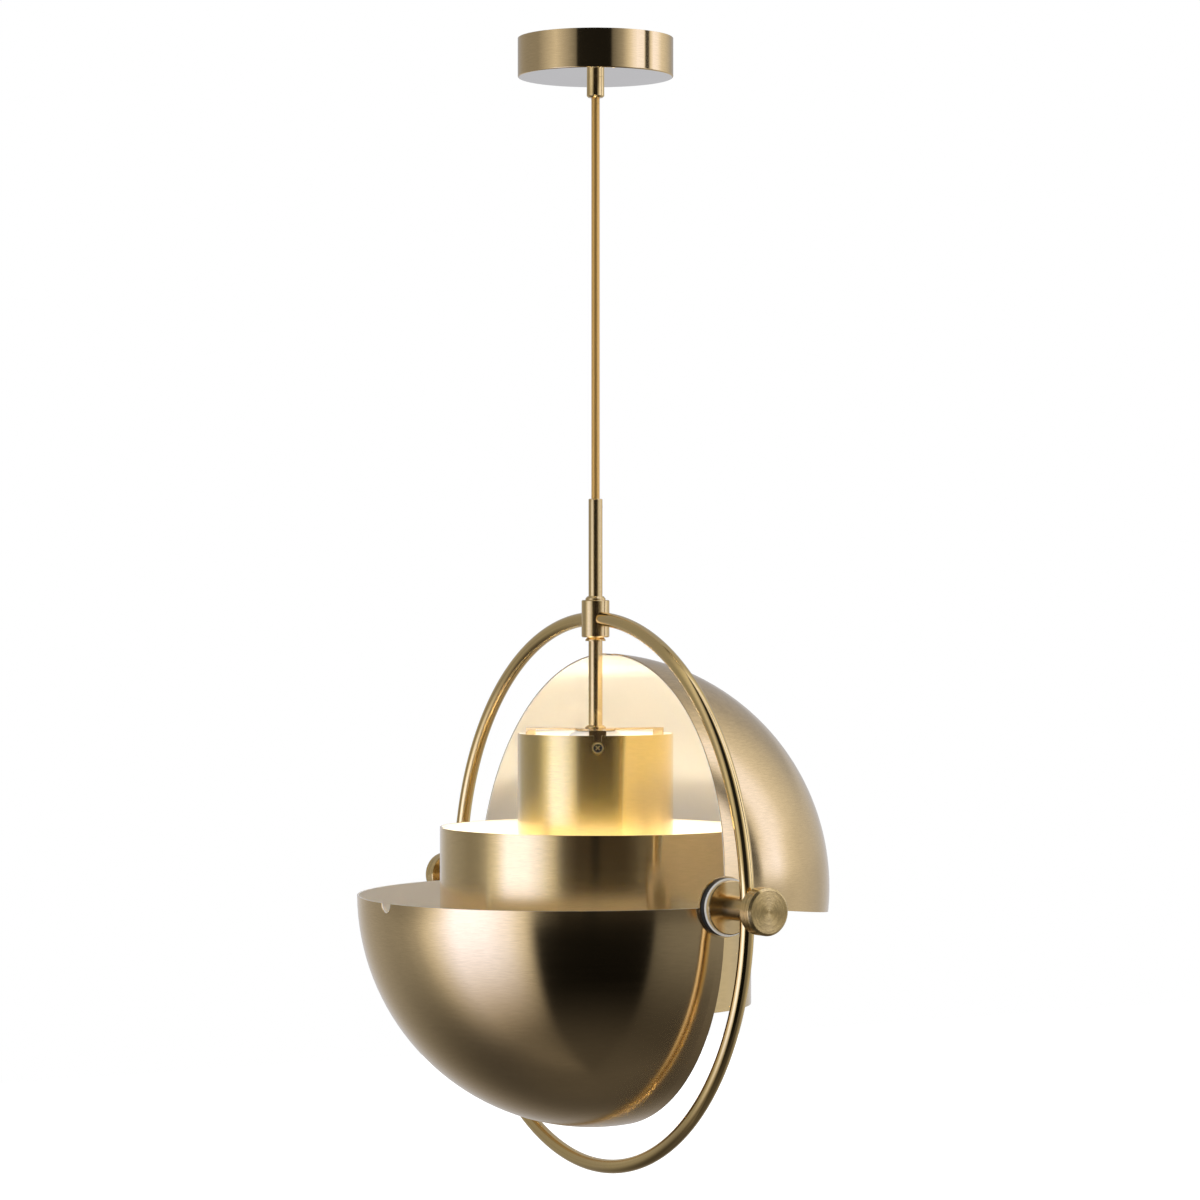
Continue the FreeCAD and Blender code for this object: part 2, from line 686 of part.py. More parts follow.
def make_knob(side):
    """The round thumb nut on the outer end of the spindle."""
    knob = axial(knob_diameter, knob_inner_x, knob_outer_x, side)
    knob = knob.makeChamfer(knob_chamfer, edges_at_x(knob, side * knob_outer_x))
    knob = knob.makeChamfer(knob_back_chamfer, edges_at_x(knob, side * knob_inner_x))
    return knob.cut(axial(2 * turning_bore_radius, knob_inner_x, knob_outer_x - knob_face_wall, side))


# ---- all pieces ---------------------------------------------------------------------------------

def make_parts():
    """Every piece of the lamp under its node name."""
    grip_screw_z = grip_bottom_z + grip_screw_height
    stem_screw_z = stem_top_z - stem_screw_depth
    parts = {
        "ceiling_bracket": make_ceiling_bracket(),
        "nipple_nut": make_nipple_nut(),
        "threaded_nipple": make_threaded_nipple(),
        "terminal_block": make_terminal_block(),
        "canopy_cup": make_canopy_cup(),
        "cord_grip": make_cord_grip(),
        "grip_screw": make_set_screw(grip_screw_diameter, grip_screw_z, grip_diameter / 2),
        "suspension_cord": make_suspension_cord(),
        "upper_stem": make_upper_stem(),
        "stem_screw": make_set_screw(stem_screw_diameter, stem_screw_z, stem_diameter / 2),
        "core_wires": make_core_wires(),
        "hub_top_collar": make_collar(collar_diameter, collar_height, hub_top_z + collar_height),
        "hub_sleeve": make_hub_sleeve(),
        "hub_bottom_collar": make_collar(collar_diameter, collar_height, hub_bottom_z),
        "lower_stem": make_lower_stem(),
        "stem_foot_collar": make_collar(foot_collar_diameter, foot_collar_height,
                                        spider_top_z + foot_collar_height),
        "spider_bracket": make_spider_bracket(),
        "body_screws": make_body_screws(),
        "upper_cylinder": make_upper_cylinder(),
        "upper_drum_bracket": make_drum_bracket(upper_cylinder_bottom_z, -1),
        "drum_cylinder": tube(drum_diameter, 2 * drum_inner_radius, drum_top_z, drum_bottom_z),
        "lower_drum_bracket": make_drum_bracket(lower_cylinder_top_z, 1),
        "lower_cylinder": tube(small_cylinder_diameter, 2 * small_inner_radius, lower_cylinder_top_z,
                               rim_bottom_z),
        "lampholder_cap": make_lampholder_cap(),
        "lampholder_body": make_lampholder_body(),
        "holder_contact": make_holder_contact(),
        "bulb_cap": make_bulb_cap(),
        "bulb_glass": make_bulb_glass(),
    }
    parts.update(make_ring())
    front = make_shade(front_ear_inner_x, front_ear_outer_x, front_ear_diameter)
    rear = make_shade(rear_ear_inner_x, rear_ear_outer_x, rear_ear_diameter)
    parts["front_shade"] = about_pivot(front, -front_rim_drop)
    parts["rear_shade"] = about_pivot(about_z(rear, 180), rear_rim_lean - 90)
    for name, side in SIDES.items():
        parts[name + "_ear_washer"] = washer(ear_washer_diameter, spindle_bore_radius, rear_ear_outer_x,
                                             front_ear_inner_x, side)
        parts[name + "_rubber_washer"] = washer(rubber_washer_diameter, spindle_bore_radius,
                                                front_ear_outer_x, nylon_inner_x, side)
        parts[name + "_nylon_washer"] = washer(nylon_washer_diameter, spindle_bore_radius, nylon_inner_x,
                                               disc_inner_x, side)
        parts[name + "_inner_washer"] = washer(inner_washer_diameter, spindle_bore_radius, nut_outer_x,
                                               rear_ear_inner_x, side)
        parts[name + "_pivot_disc"] = make_pivot_disc(side)
        parts[name + "_pivot_barrel"] = make_pivot_barrel(side)
        parts[name + "_spindle"] = axial(spindle_diameter, spindle_inner_x, spindle_outer_x, side)
        parts[name + "_spindle_nut"] = make_spindle_nut(side)
        parts[name + "_knob"] = make_knob(side)
    return parts


os.makedirs("parts", exist_ok=True)
for node, shape in make_parts().items():
    solids = shape.Solids
    bounds = shape.BoundBox
    print(node, len(solids), "valid" if shape.isValid() else "INVALID", round(shape.Volume, 1),
          "x %.1f..%.1f y %.1f..%.1f z %.1f..%.1f" % (bounds.XMin, bounds.XMax, bounds.YMin, bounds.YMax,
                                                      bounds.ZMin, bounds.ZMax))
    shape.exportStep("parts/" + node + ".step")
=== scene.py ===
import json
import math
from functools import partial

import bpy
import numpy as np
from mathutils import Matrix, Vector


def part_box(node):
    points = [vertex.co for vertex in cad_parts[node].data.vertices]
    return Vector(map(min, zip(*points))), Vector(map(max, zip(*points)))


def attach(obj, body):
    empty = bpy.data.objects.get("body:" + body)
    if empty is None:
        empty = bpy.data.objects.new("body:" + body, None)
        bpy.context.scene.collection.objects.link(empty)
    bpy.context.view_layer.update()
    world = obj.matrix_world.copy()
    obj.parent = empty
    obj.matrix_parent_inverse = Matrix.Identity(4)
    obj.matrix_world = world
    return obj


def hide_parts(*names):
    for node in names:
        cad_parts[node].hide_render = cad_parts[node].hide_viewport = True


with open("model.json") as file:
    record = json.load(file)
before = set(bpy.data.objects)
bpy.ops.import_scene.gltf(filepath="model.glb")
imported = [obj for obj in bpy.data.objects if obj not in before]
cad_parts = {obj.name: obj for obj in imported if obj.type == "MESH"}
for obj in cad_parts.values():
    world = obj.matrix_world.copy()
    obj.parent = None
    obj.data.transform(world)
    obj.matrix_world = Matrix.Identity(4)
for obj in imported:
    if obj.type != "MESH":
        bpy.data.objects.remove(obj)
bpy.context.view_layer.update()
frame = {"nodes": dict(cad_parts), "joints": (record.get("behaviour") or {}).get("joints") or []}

bl_info = {
    "name": "Ring Pendant Lamp",
    "version": (1, 0, 0),
    "blender": (4, 5, 0),
    "location": "View3D > Sidebar > Lamp",
    "description": "Dresses a brass ring pendant with quarter-sphere shades and lights it for a product view",
    "category": "Object",
}

BODY = "lamp_body"
SIDES = ("left", "right")

PIVOT = Vector(next(j for j in frame["joints"] if j["name"] == "front_shade_turn")["pos_m"])
cord_low, cord_high = (Vector(corner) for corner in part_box("suspension_cord"))
drum_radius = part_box("drum_cylinder")[1][0]
small_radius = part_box("upper_cylinder")[1][0]

# The light tent's brightness by bearing from the camera in degrees, positive to its right: near the floor,
# level with the lamp, just over level, and high up.
TENT_LOW = (
    (-180, 0.66), (-158, 0.60), (-140, 0.44), (-118, 0.34), (-104, 0.36), (-94, 0.50), (-82, 1.10),
    (-68, 1.90), (-52, 1.80), (-40, 1.45), (-31, 0.90), (-27, 0.20), (-25.5, 0.008), (29.5, 0.008),
    (31, 0.20), (40, 0.25), (50, 0.27), (70, 0.28), (85, 0.46), (100, 0.64), (115, 0.66), (138, 0.50),
    (158, 0.60), (180, 0.66))
TENT_LEVEL = (
    (-180, 0.66), (-158, 0.60), (-140, 0.42), (-118, 0.32), (-104, 0.24), (-95, 0.26), (-87, 0.36),
    (-77, 0.95), (-66, 2.00), (-50, 2.00), (-38, 1.40), (-29, 0.75), (-22, 0.24), (-13, 0.04), (20, 0.025),
    (44, 0.025), (51, 0.12), (56, 0.18), (61, 0.40), (80, 0.40), (100, 0.55), (115, 0.62), (138, 0.50),
    (158, 0.60), (180, 0.66))
TENT_MIDDLE = (
    (-180, 0.50), (-150, 0.48), (-118, 0.33), (-93, 0.33), (-82, 0.56), (-60, 0.80), (-46, 0.60),
    (-32, 0.34), (-28, 0.28), (-26.5, 0.015), (23.5, 0.015), (24.5, 0.10), (36, 0.22), (48, 0.50),
    (56, 1.25), (68, 1.30), (77, 1.10), (79, 0.06), (85, 0.06), (87, 1.30), (98, 1.50), (108, 0.90),
    (118, 0.70), (138, 0.60), (180, 0.50))
TENT_HIGH = (
    (-180, 0.45), (-118, 0.33), (-93, 0.33), (-60, 0.78), (-32, 0.28), (-28, 0.20), (-26.5, 0.015),
    (23, 0.012), (24.5, 0.16), (40, 0.42), (52, 0.95), (62, 1.40), (76, 1.35), (78.5, 0.06), (84.5, 0.06),
    (87, 0.80), (94, 1.40), (104, 1.30), (114, 0.90), (130, 0.66), (146, 0.44), (180, 0.40))

# Where one ring of the tent blends into the next, as rises over the lamp in degrees.
LOW_TO_LEVEL = (-10.0, -6.0)
LEVEL_TO_MIDDLE = (-1.0, 5.0)
MIDDLE_TO_HIGH = (10.0, 17.0)

# A dusky veil level with the lamp: its foot and top in degrees of rise, the half width of the slit in front
# of the camera, and its brightness in the slit and beside it.
VEIL_FOOT = (-2.2, -0.8)
VEIL_TOP = (1.5, 3.0)
VEIL_SLIT = (1.5, 4.5)
VEIL_GLOW = (0.03, 0.19)

# The colours of the tent's cloth.
CLOTH_DIM = (1.0, 0.97, 0.90)
CLOTH_BRIGHT = (0.90, 0.98, 1.45)
CLOTH_BEHIND = (1.0, 1.0, 1.05)
CLOTH_DUSK = (1.0, 0.62, 0.22)
CLOTH_FOOT = (1.0, 0.91, 0.80)

# The softbox: its bearing to the left of the camera, its distance, its height over the pivots and its size.
SOFTBOX_BEARING = math.radians(65)
SOFTBOX_DISTANCE = 2.2
SOFTBOX_RISE = 0.9
SOFTBOX_SIZE = (1.6, 1.8)

# Small finishes, each as its colour and its darker patches.
WHITE_PLASTIC = ((0.88, 0.87, 0.84), (0.82, 0.81, 0.78))
TERMINAL_PLASTIC = ((0.84, 0.84, 0.80), (0.78, 0.78, 0.74))
HOLDER_PLASTIC = ((0.02, 0.02, 0.02), (0.035, 0.035, 0.035))
BLACK_RUBBER = ((0.018, 0.018, 0.018), (0.03, 0.03, 0.03))
CORE_INSULATION = ((0.30, 0.16, 0.08), (0.24, 0.13, 0.06))
CAP_ALUMINIUM = ((0.78, 0.78, 0.78), (0.66, 0.66, 0.66))

# Single colours.
BRACKET_PATCH = (0.78, 0.76, 0.73)
PLAIN_BLACK = (0.02, 0.02, 0.02)
CAP_WHITE = (0.84, 0.82, 0.79)
SCREW_GOLD = (0.95, 0.76, 0.40)
# Painted shade for the screw heads' groove.
SCREW_GROOVE_SHADE = (0.015, 0.012, 0.010)
UNDERSIDE = (1.0, 0.98, 0.93)
OPAL_WHITE = (0.95, 0.93, 0.88, 1.0)

WIRE_HOLE = (0.0128, 0.0132)    # the edge of the lampholder cap's black middle, from the axis
BULB_NECK = (0.050, 0.005)      # where the bulb's light fades out, under the top of its neck
PAINT_EDGE = 0.0001             # half the width in which brass turns into paint
PAINT_DEPTH = 0.6               # how deep in the sheet paint begins, as a share of its thickness
CANOPY_LIP = (0.0009, 0.0006)   # where the canopy's side begins, in from its outside
BLACK_BACK_DEPTH = 0.85               # how far along the nylon washer its black back ends
FINE_SCALE = 60.0               # how close the patches lie on small moulded pieces
RING_SLANT = 0.73               # how fast turned lines move outwards on end faces, beside their run on sides
LACQUER_BLUR = 0.16
LACQUER_IOR = 1.9
BRAID_ROW = 0.0005              # height of one row of the braid's mesh
BRAID_SIDES = 64

# ---- settings -----------------------------------------------------------------------------------

class LampCordSettings(bpy.types.PropertyGroup):
    diameter: bpy.props.FloatProperty(
        name="Diameter", description="Outside of the braid", default=cord_high.x - cord_low.x, min=0.003,
        max=0.01, subtype="DISTANCE")
    carriers: bpy.props.IntProperty(
        name="Carriers", description="Yarns that run round in each direction", default=8, min=4, max=16)
    braid_pitch: bpy.props.FloatProperty(
        name="Braid Pitch", description="Length of one turn of a yarn", default=0.014, min=0.004,
        max=0.05, subtype="DISTANCE")
    yarn_relief: bpy.props.FloatProperty(
        name="Yarn Relief", description="Depth between the yarns", default=0.00022, min=0.0, max=0.0006,
        subtype="DISTANCE")
    yarn_color: bpy.props.FloatVectorProperty(
        name="Yarn", description="Colour of the golden yarn", default=(0.92, 0.57, 0.17), subtype="COLOR",
        min=0, max=1)
    # Painted shade in the grooves between the yarns.
    groove_shade_color: bpy.props.FloatVectorProperty(
        name="Groove", description="Colour between the yarns", default=(0.30, 0.14, 0.03),
        subtype="COLOR", min=0, max=1)


class LampMetalSettings(bpy.types.PropertyGroup):
    brass_color: bpy.props.FloatVectorProperty(
        name="Brass", description="Colour of the satin brass", default=(0.77, 0.59, 0.345),
        subtype="COLOR", min=0, max=1)
    tarnish_color: bpy.props.FloatVectorProperty(
        name="Tarnish", description="Colour of the duller patches", default=(0.72, 0.545, 0.31),
        subtype="COLOR", min=0, max=1)
    # Partly the brass's own warmer tone, partly a painted reflection of the bulb's warm light.
    glow_color: bpy.props.FloatVectorProperty(
        name="Warm Brass", description="Colour of the warmer brass", default=(0.85, 0.63, 0.205),
        subtype="COLOR", min=0, max=1)
    brass_roughness: bpy.props.FloatProperty(
        name="Brass Roughness", description="Blur of the satin finish", default=0.20, min=0.05, max=0.8)
    brush_stretch: bpy.props.FloatProperty(
        name="Brush Stretch", description="Anisotropy of the brushing", default=0.90, min=0.0, max=1.0)
    steel_color: bpy.props.FloatVectorProperty(
        name="Zinc", description="Colour of the zinc-plated steel", default=(0.62, 0.64, 0.66),
        subtype="COLOR", min=0, max=1)


class LampShadeSettings(bpy.types.PropertyGroup):
    paint_color: bpy.props.FloatVectorProperty(
        name="Paint", description="Matt paint on inner walls", default=(0.86, 0.84, 0.81),
        subtype="COLOR", min=0, max=1)
    sheet: bpy.props.FloatProperty(
        name="Sheet", description="Thickness of the shade's sheet", default=0.0012, min=0.0005, max=0.003,
        subtype="DISTANCE")
    offset: bpy.props.FloatProperty(
        name="Centre Offset", description="From the pivot to the sphere's centre", default=0.0035,
        min=0.0, max=0.01, subtype="DISTANCE")
    radius: bpy.props.FloatProperty(
        name="Radius", description="Outside of the sphere", default=0.150, min=0.1, max=0.2,
        subtype="DISTANCE")
    front_drop: bpy.props.FloatProperty(
        name="Front Drop", description="The front shade's rim below level", default=math.radians(0.6),
        subtype="ANGLE")
    rear_lean: bpy.props.FloatProperty(
        name="Rear Lean", description="The rear shade's rim back from upright", default=math.radians(3.7),
        subtype="ANGLE")


class LampLightSettings(bpy.types.PropertyGroup):
    bulb_color: bpy.props.FloatVectorProperty(
        name="Bulb", description="Colour of the lit glass", default=(1.0, 0.89, 0.66), subtype="COLOR",
        min=0, max=1)
    bulb_strength: bpy.props.FloatProperty(
        name="Bulb Strength", description="Brightness of the lit glass", default=36.0, min=0.0, max=400.0)


class LampCameraSettings(bpy.types.PropertyGroup):
    azimuth: bpy.props.FloatProperty(
        name="Azimuth", description="Where the camera stands round the lamp", default=math.radians(58.4),
        subtype="ANGLE")
    distance: bpy.props.FloatProperty(
        name="Distance", description="From the lamp's axis to the camera", default=2.570, min=0.5,
        max=10.0, subtype="DISTANCE")
    height: bpy.props.FloatProperty(
        name="Height", description="The camera's height in the lamp's frame", default=-0.361, min=-2.0,
        max=1.0, subtype="DISTANCE")
    lens: bpy.props.FloatProperty(
        name="Lens", description="Focal length in millimetres", default=119.9, min=20.0, max=300.0)
    shift: bpy.props.FloatProperty(
        name="Shift", description="Sideways shift, in widths of the picture", default=0.00375, min=-0.1,
        max=0.1)


class LampStudioSettings(bpy.types.PropertyGroup):
    floor_depth: bpy.props.FloatProperty(
        name="Floor Depth", description="From the ceiling down to the floor", default=2.6, min=1.0,
        max=4.0, subtype="DISTANCE")
    floor_color: bpy.props.FloatVectorProperty(
        name="Floor", description="Colour of the floor", default=(0.85, 0.85, 0.85), subtype="COLOR",
        min=0, max=1)
    ambient: bpy.props.FloatProperty(
        name="Ambient", description="Strength of the room's even light", default=0.92, min=0.0, max=2.0)
    key: bpy.props.FloatProperty(
        name="Key", description="Power of the left softbox in watts", default=6.0, min=0.0, max=100.0,
        subtype="POWER")
    tent_radius: bpy.props.FloatProperty(
        name="Tent Radius", description="From the lamp to the light tent", default=1.9, min=0.8, max=5.0,
        subtype="DISTANCE")
    tent_gain: bpy.props.FloatProperty(
        name="Tent Gain", description="Brightness of the light tent", default=1.0, min=0.0, max=4.0)


# ---- working by hand ----------------------------------------------------------------------------

def settings(name):
    """The scene's settings of one kind."""
    return getattr(bpy.context.scene, "lamp_" + name)


def deselect_all():
    """Leaves nothing selected and nothing active, out of edit mode."""
    if bpy.context.object and bpy.context.object.mode != "OBJECT":
        bpy.ops.object.mode_set(mode="OBJECT")
    bpy.ops.object.select_all(action="DESELECT")
    bpy.context.view_layer.objects.active = None


def select_only(piece):
    """Selects one object and makes it active."""
    deselect_all()
    piece.select_set(True)
    bpy.context.view_layer.objects.active = piece


def settle(piece):
    """Moves a piece's place, turn and size into its mesh."""
    select_only(piece)
    bpy.ops.object.transform_apply(location=True, rotation=True, scale=True)


def smooth(piece, degrees=35):
    """Shades a piece smooth but for its sharp edges."""
    select_only(piece)
    bpy.ops.object.shade_smooth_by_angle(angle=math.radians(degrees))


# ---- working with nodes -------------------------------------------------------------------------

class Bench:
    """A node tree with short ways to add, set and join nodes."""

    def __init__(self, tree):
        self.tree = tree

    def add(self, kind, options=None, **inputs):
        """Adds a node with its own options. Inputs are values or sockets by name, or i0, i1 by place."""
        made = self.tree.nodes.new(kind)
        for key, value in (options or {}).items():
            setattr(made, key, value)
        for key, value in inputs.items():
            by_place = key[0] == "i" and key[1:].isdigit()
            self.put(made.inputs[int(key[1:]) if by_place else key.replace("_", " ")], value)
        return made

    def put(self, socket, value):
        """Joins a socket to another, or sets its value."""
        if isinstance(value, bpy.types.NodeSocket):
            self.tree.links.new(value, socket)
        else:
            socket.default_value = value

    def show(self, out, shader):
        """Joins a shader to a material's or a world's output."""
        self.put(out.inputs["Surface"], shader.outputs[0])

    def math(self, operation, a, b=0.0):
        """The result of one arithmetic step."""
        return self.add("ShaderNodeMath", {"operation": operation}, i0=a, i1=b).outputs[0]

    def times(self, a, b):
        """Two numbers multiplied."""
        return self.math("MULTIPLY", a, b)

    def parts(self, vector):
        """The three parts of a vector."""
        return self.add("ShaderNodeSeparateXYZ", Vector=vector).outputs

    def reach(self, a, b):
        """The length of two sides that meet at a right angle."""
        return self.math("SQRT", self.math("ADD", self.times(a, a), self.times(b, b)))

    def mix(self, factor, a, b):
        """A colour between two colours."""
        node = self.add("ShaderNodeMix", {"data_type": "RGBA"})
        self.put(node.inputs[0], factor)
        self.put(node.inputs[6], rgba(a))
        self.put(node.inputs[7], rgba(b))
        return node.outputs[2]

    def between(self, factor, low, high):
        """A number between two numbers."""
        node = self.add("ShaderNodeMapRange", {"clamp": True})
        for index, value in enumerate((factor, 0.0, 1.0, low, high)):
            self.put(node.inputs[index], value)
        return node.outputs[0]

    def step(self, value, low, high):
        """0 under low, 1 over high and smooth between."""
        node = self.add("ShaderNodeMapRange", {"interpolation_type": "SMOOTHSTEP"})
        for index, number in enumerate((value, low, high, 0.0, 1.0)):
            self.put(node.inputs[index], number)
        return node.outputs[0]

    def under(self, value, low, high):
        """1 under low, 0 over high and smooth between."""
        return self.math("SUBTRACT", 1.0, self.step(value, low, high))


def rgba(color):
    """A colour with its alpha, or the socket that it is."""
    if isinstance(color, bpy.types.NodeSocket) or len(color) == 4:
        return color
    return (*color, 1.0)


def new_group(name, inputs, outputs):
    """A shader node group with named sockets, as a bench, its input node and its output node."""
    tree = bpy.data.node_groups.new(name, "ShaderNodeTree")
    for label, kind, value in inputs:
        socket = tree.interface.new_socket(name=label, in_out="INPUT", socket_type=kind)
        if value is not None:
            socket.default_value = value
    for label, kind in outputs:
        tree.interface.new_socket(name=label, in_out="OUTPUT", socket_type=kind)
    bench = Bench(tree)
    return bench, bench.add("NodeGroupInput"), bench.add("NodeGroupOutput")


def place_group(bench, name, **inputs):
    """Puts a finished node group into a material."""
    node = bench.add("ShaderNodeGroup", {"node_tree": bpy.data.node_groups[name]})
    for key, value in inputs.items():
        bench.put(node.inputs[key.replace("_", " ")], value)
    return node.outputs


def build_turned_lines():
    """Fine lines round an upright axis through the coordinates' origin, on sides and end faces alike."""
    bench, given, result = new_group(
        "Turned Lines",
        [("Vector", "NodeSocketVector", None), ("Lines per Metre", "NodeSocketFloat", 4200.0),
         ("Length", "NodeSocketFloat", 0.03)],
        [("Lines", "NodeSocketFloat"), ("Broad", "NodeSocketFloat")])
    x, y, z = bench.parts(given.outputs["Vector"])
    slanted = bench.math("ADD", z, bench.times(bench.reach(x, y), RING_SLANT))
    along = bench.times(slanted, given.outputs["Lines per Metre"])
    ring = bench.add("ShaderNodeCombineXYZ", X=bench.math("DIVIDE", x, given.outputs["Length"]),
                     Y=bench.math("DIVIDE", y, given.outputs["Length"]), Z=along)
    fine = bench.add("ShaderNodeTexNoise", Vector=ring.outputs[0], Scale=1.0, Detail=3.0, Roughness=0.75)
    wide = bench.add("ShaderNodeTexNoise", Vector=ring.outputs[0], Scale=0.13, Detail=2.0, Roughness=0.5)
    bench.put(result.inputs["Lines"], fine.outputs[0])
    bench.put(result.inputs["Broad"], wide.outputs[0])


def build_handled_patches():
    """Slow cloudy patches and small specks that break up a finish."""
    bench, given, result = new_group(
        "Handled Patches", [("Vector", "NodeSocketVector", None), ("Scale", "NodeSocketFloat", 14.0)],
        [("Patches", "NodeSocketFloat"), ("Specks", "NodeSocketFloat")])
    cloud = bench.add("ShaderNodeTexNoise", Vector=given.outputs["Vector"], Scale=given.outputs["Scale"],
                      Detail=4.0, Roughness=0.55)
    dots = bench.add("ShaderNodeTexVoronoi", Vector=given.outputs["Vector"],
                     Scale=bench.times(given.outputs["Scale"], 22.0))
    rare = bench.add("ShaderNodeTexNoise", Vector=given.outputs["Vector"],
                     Scale=bench.times(given.outputs["Scale"], 3.1), Detail=1.0)
    speck = bench.under(dots.outputs["Distance"], 0.02, 0.10)
    some = bench.step(rare.outputs[0], 0.60, 0.68)
    bench.put(result.inputs["Patches"], bench.step(cloud.outputs[0], 0.32, 0.70))
    bench.put(result.inputs["Specks"], bench.times(speck, some))


def new_material(name):
    """An empty material, with its bench and its output node."""
    material = bpy.data.materials.new(name)
    material.use_nodes = True
    material.node_tree.nodes.clear()
    bench = Bench(material.node_tree)
    return material, bench, bench.add("ShaderNodeOutputMaterial")


def place_coordinates(bench, centre=(0, 0, 0), axis="Z"):
    """Object coordinates from a centre, turned so that the given axis points up."""
    where = bench.add("ShaderNodeTexCoord").outputs["Object"]
    moved = bench.add("ShaderNodeVectorMath", {"operation": "SUBTRACT"}, i0=where, i1=tuple(centre))
    if axis == "Z":
        return moved.outputs[0]
    turn = bench.add("ShaderNodeMapping", {"vector_type": "POINT"}, Vector=moved.outputs[0])
    turn.inputs["Rotation"].default_value = (0, math.radians(-90), 0)
    return turn.outputs[0]


def round_tangent(bench, centre=(0, 0, 0)):
    """The direction round an upright axis through a centre, in the world's frame."""
    where = place_coordinates(bench, centre)
    around = bench.add("ShaderNodeVectorMath", {"operation": "CROSS_PRODUCT"}, i0=(0, 0, 1), i1=where)
    turned = bench.add("ShaderNodeVectorTransform", {"vector_type": "VECTOR", "convert_from": "OBJECT",
                                                     "convert_to": "WORLD"}, Vector=around.outputs[0])
    return turned.outputs[0]


def set_brushing(bench, shader, stretch, tangent):
    """Blurs a shader's highlights across the brush lines that follow a tangent."""
    shader.inputs["Anisotropic"].default_value = stretch
    shader.inputs["Anisotropic Rotation"].default_value = 0.25
    bench.put(shader.inputs["Tangent"], tangent)


def brass_nodes(bench, vector, lines_per_metre=2400.0, length=0.007, relief=0.04, edge=0.0003, haze=0.0,
                warmth=0.0, contrast=0.2):
    """The colours, roughness and normal of brushed brass along the lines round a vector's axis."""
    metal = settings("metal")
    lines = place_group(bench, "Turned Lines", Vector=vector, Lines_per_Metre=lines_per_metre, Length=length)
    marks = place_group(bench, "Handled Patches", Vector=vector)
    # Leaning to the warmer colour paints in part the bulb's warm light that the brass reflects.
    brass = Vector(metal.brass_color).lerp(Vector(metal.glow_color), warmth)
    tone = bench.mix(bench.times(marks["Patches"], 0.5), tuple(brass), tuple(metal.tarnish_color))
    streak = bench.between(lines["Lines"], 1.0 - contrast, 1.0 + contrast)
    tint = bench.add("ShaderNodeHueSaturation", Color=tone, Value=streak)
    color = bench.mix(bench.times(marks["Specks"], 0.4), tint.outputs[0], tuple(metal.tarnish_color))
    blur = metal.brass_roughness + haze
    rough = bench.math("ADD", bench.between(lines["Broad"], -0.02, 0.03),
                       bench.between(marks["Patches"], blur, blur + 0.02))
    rounded = bench.add("ShaderNodeBevel", {"samples": 4}, Radius=edge)
    bump = bench.add("ShaderNodeBump", Strength=relief, Distance=0.00003, Height=lines["Lines"],
                     Normal=rounded.outputs[0])
    return color, rough, bump.outputs[0]


def brass_material(name, centre=(0, 0, 0), axis="Z", stretch=None, **values):
    """Satin brass, brushed or turned round one axis."""
    material, bench, out = new_material(name)
    color, rough, normal = brass_nodes(bench, place_coordinates(bench, centre, axis), **values)
    shader = bench.add("ShaderNodeBsdfPrincipled", Base_Color=color, Metallic=1.0, Roughness=rough,
                       Normal=normal)
    tangent = bench.add("ShaderNodeTangent", {"direction_type": "RADIAL", "axis": axis})
    set_brushing(bench, shader, settings("metal").brush_stretch if stretch is None else stretch,
                 tangent.outputs[0])
    bench.show(out, shader)
    return material


def two_sided_material(name, inside, stretch, centre=(0, 0, 0), plating=None, lacquer=0.0, **values):
    """Brass outside, brushed round an upright axis and perhaps lacquered, and matt paint or bright plating
    where inside gives 1."""
    material, bench, out = new_material(name)
    vector = place_coordinates(bench, centre)
    color, rough, normal = brass_nodes(bench, vector, edge=0.00015, **values)
    painted = inside(bench)
    marks = place_group(bench, "Handled Patches", Vector=vector, Scale=30.0)
    paint = plating or tuple(settings("shade").paint_color)
    coat = bench.mix(bench.times(marks["Patches"], 0.5), paint, tuple(0.95 * value for value in paint))
    shader = bench.add("ShaderNodeBsdfPrincipled", Base_Color=bench.mix(painted, color, coat),
                       Metallic=1.0 if plating else bench.math("SUBTRACT", 1.0, painted),
                       Roughness=bench.between(painted, rough, 0.10 if plating else 0.55), Normal=normal)
    if lacquer:
        bench.put(shader.inputs["Coat Weight"], bench.between(painted, lacquer, 0.0))
        shader.inputs["Coat Roughness"].default_value = LACQUER_BLUR
        shader.inputs["Coat IOR"].default_value = LACQUER_IOR
    set_brushing(bench, shader, stretch, round_tangent(bench, centre))
    bench.show(out, shader)
    return material


def plain_material(name, color, darker, roughness, metallic=0.0, grain=900.0):
    """A moulded, plated or rubber finish with a fine grain and slow changes of tone."""
    material, bench, out = new_material(name)
    where = place_coordinates(bench)
    marks = place_group(bench, "Handled Patches", Vector=where, Scale=FINE_SCALE)
    noise = bench.add("ShaderNodeTexNoise", Vector=where, Scale=grain, Detail=2.0)
    tone = bench.mix(marks["Patches"], color, darker)
    rough = bench.between(noise.outputs[0], roughness - 0.05, roughness + 0.05)
    bump = bench.add("ShaderNodeBump", Strength=0.1, Distance=0.0001, Height=noise.outputs[0])
    shader = bench.add("ShaderNodeBsdfPrincipled", Base_Color=tone, Roughness=rough, Metallic=metallic,
                       Normal=bump.outputs[0])
    bench.show(out, shader)
    return material


def finish_nodes(material, *names):
    """Gives CAD nodes a material."""
    for name in names:
        for slot in frame["nodes"][name].material_slots:
            slot.material = material


# ---- camera and cord ----------------------------------------------------------------------------

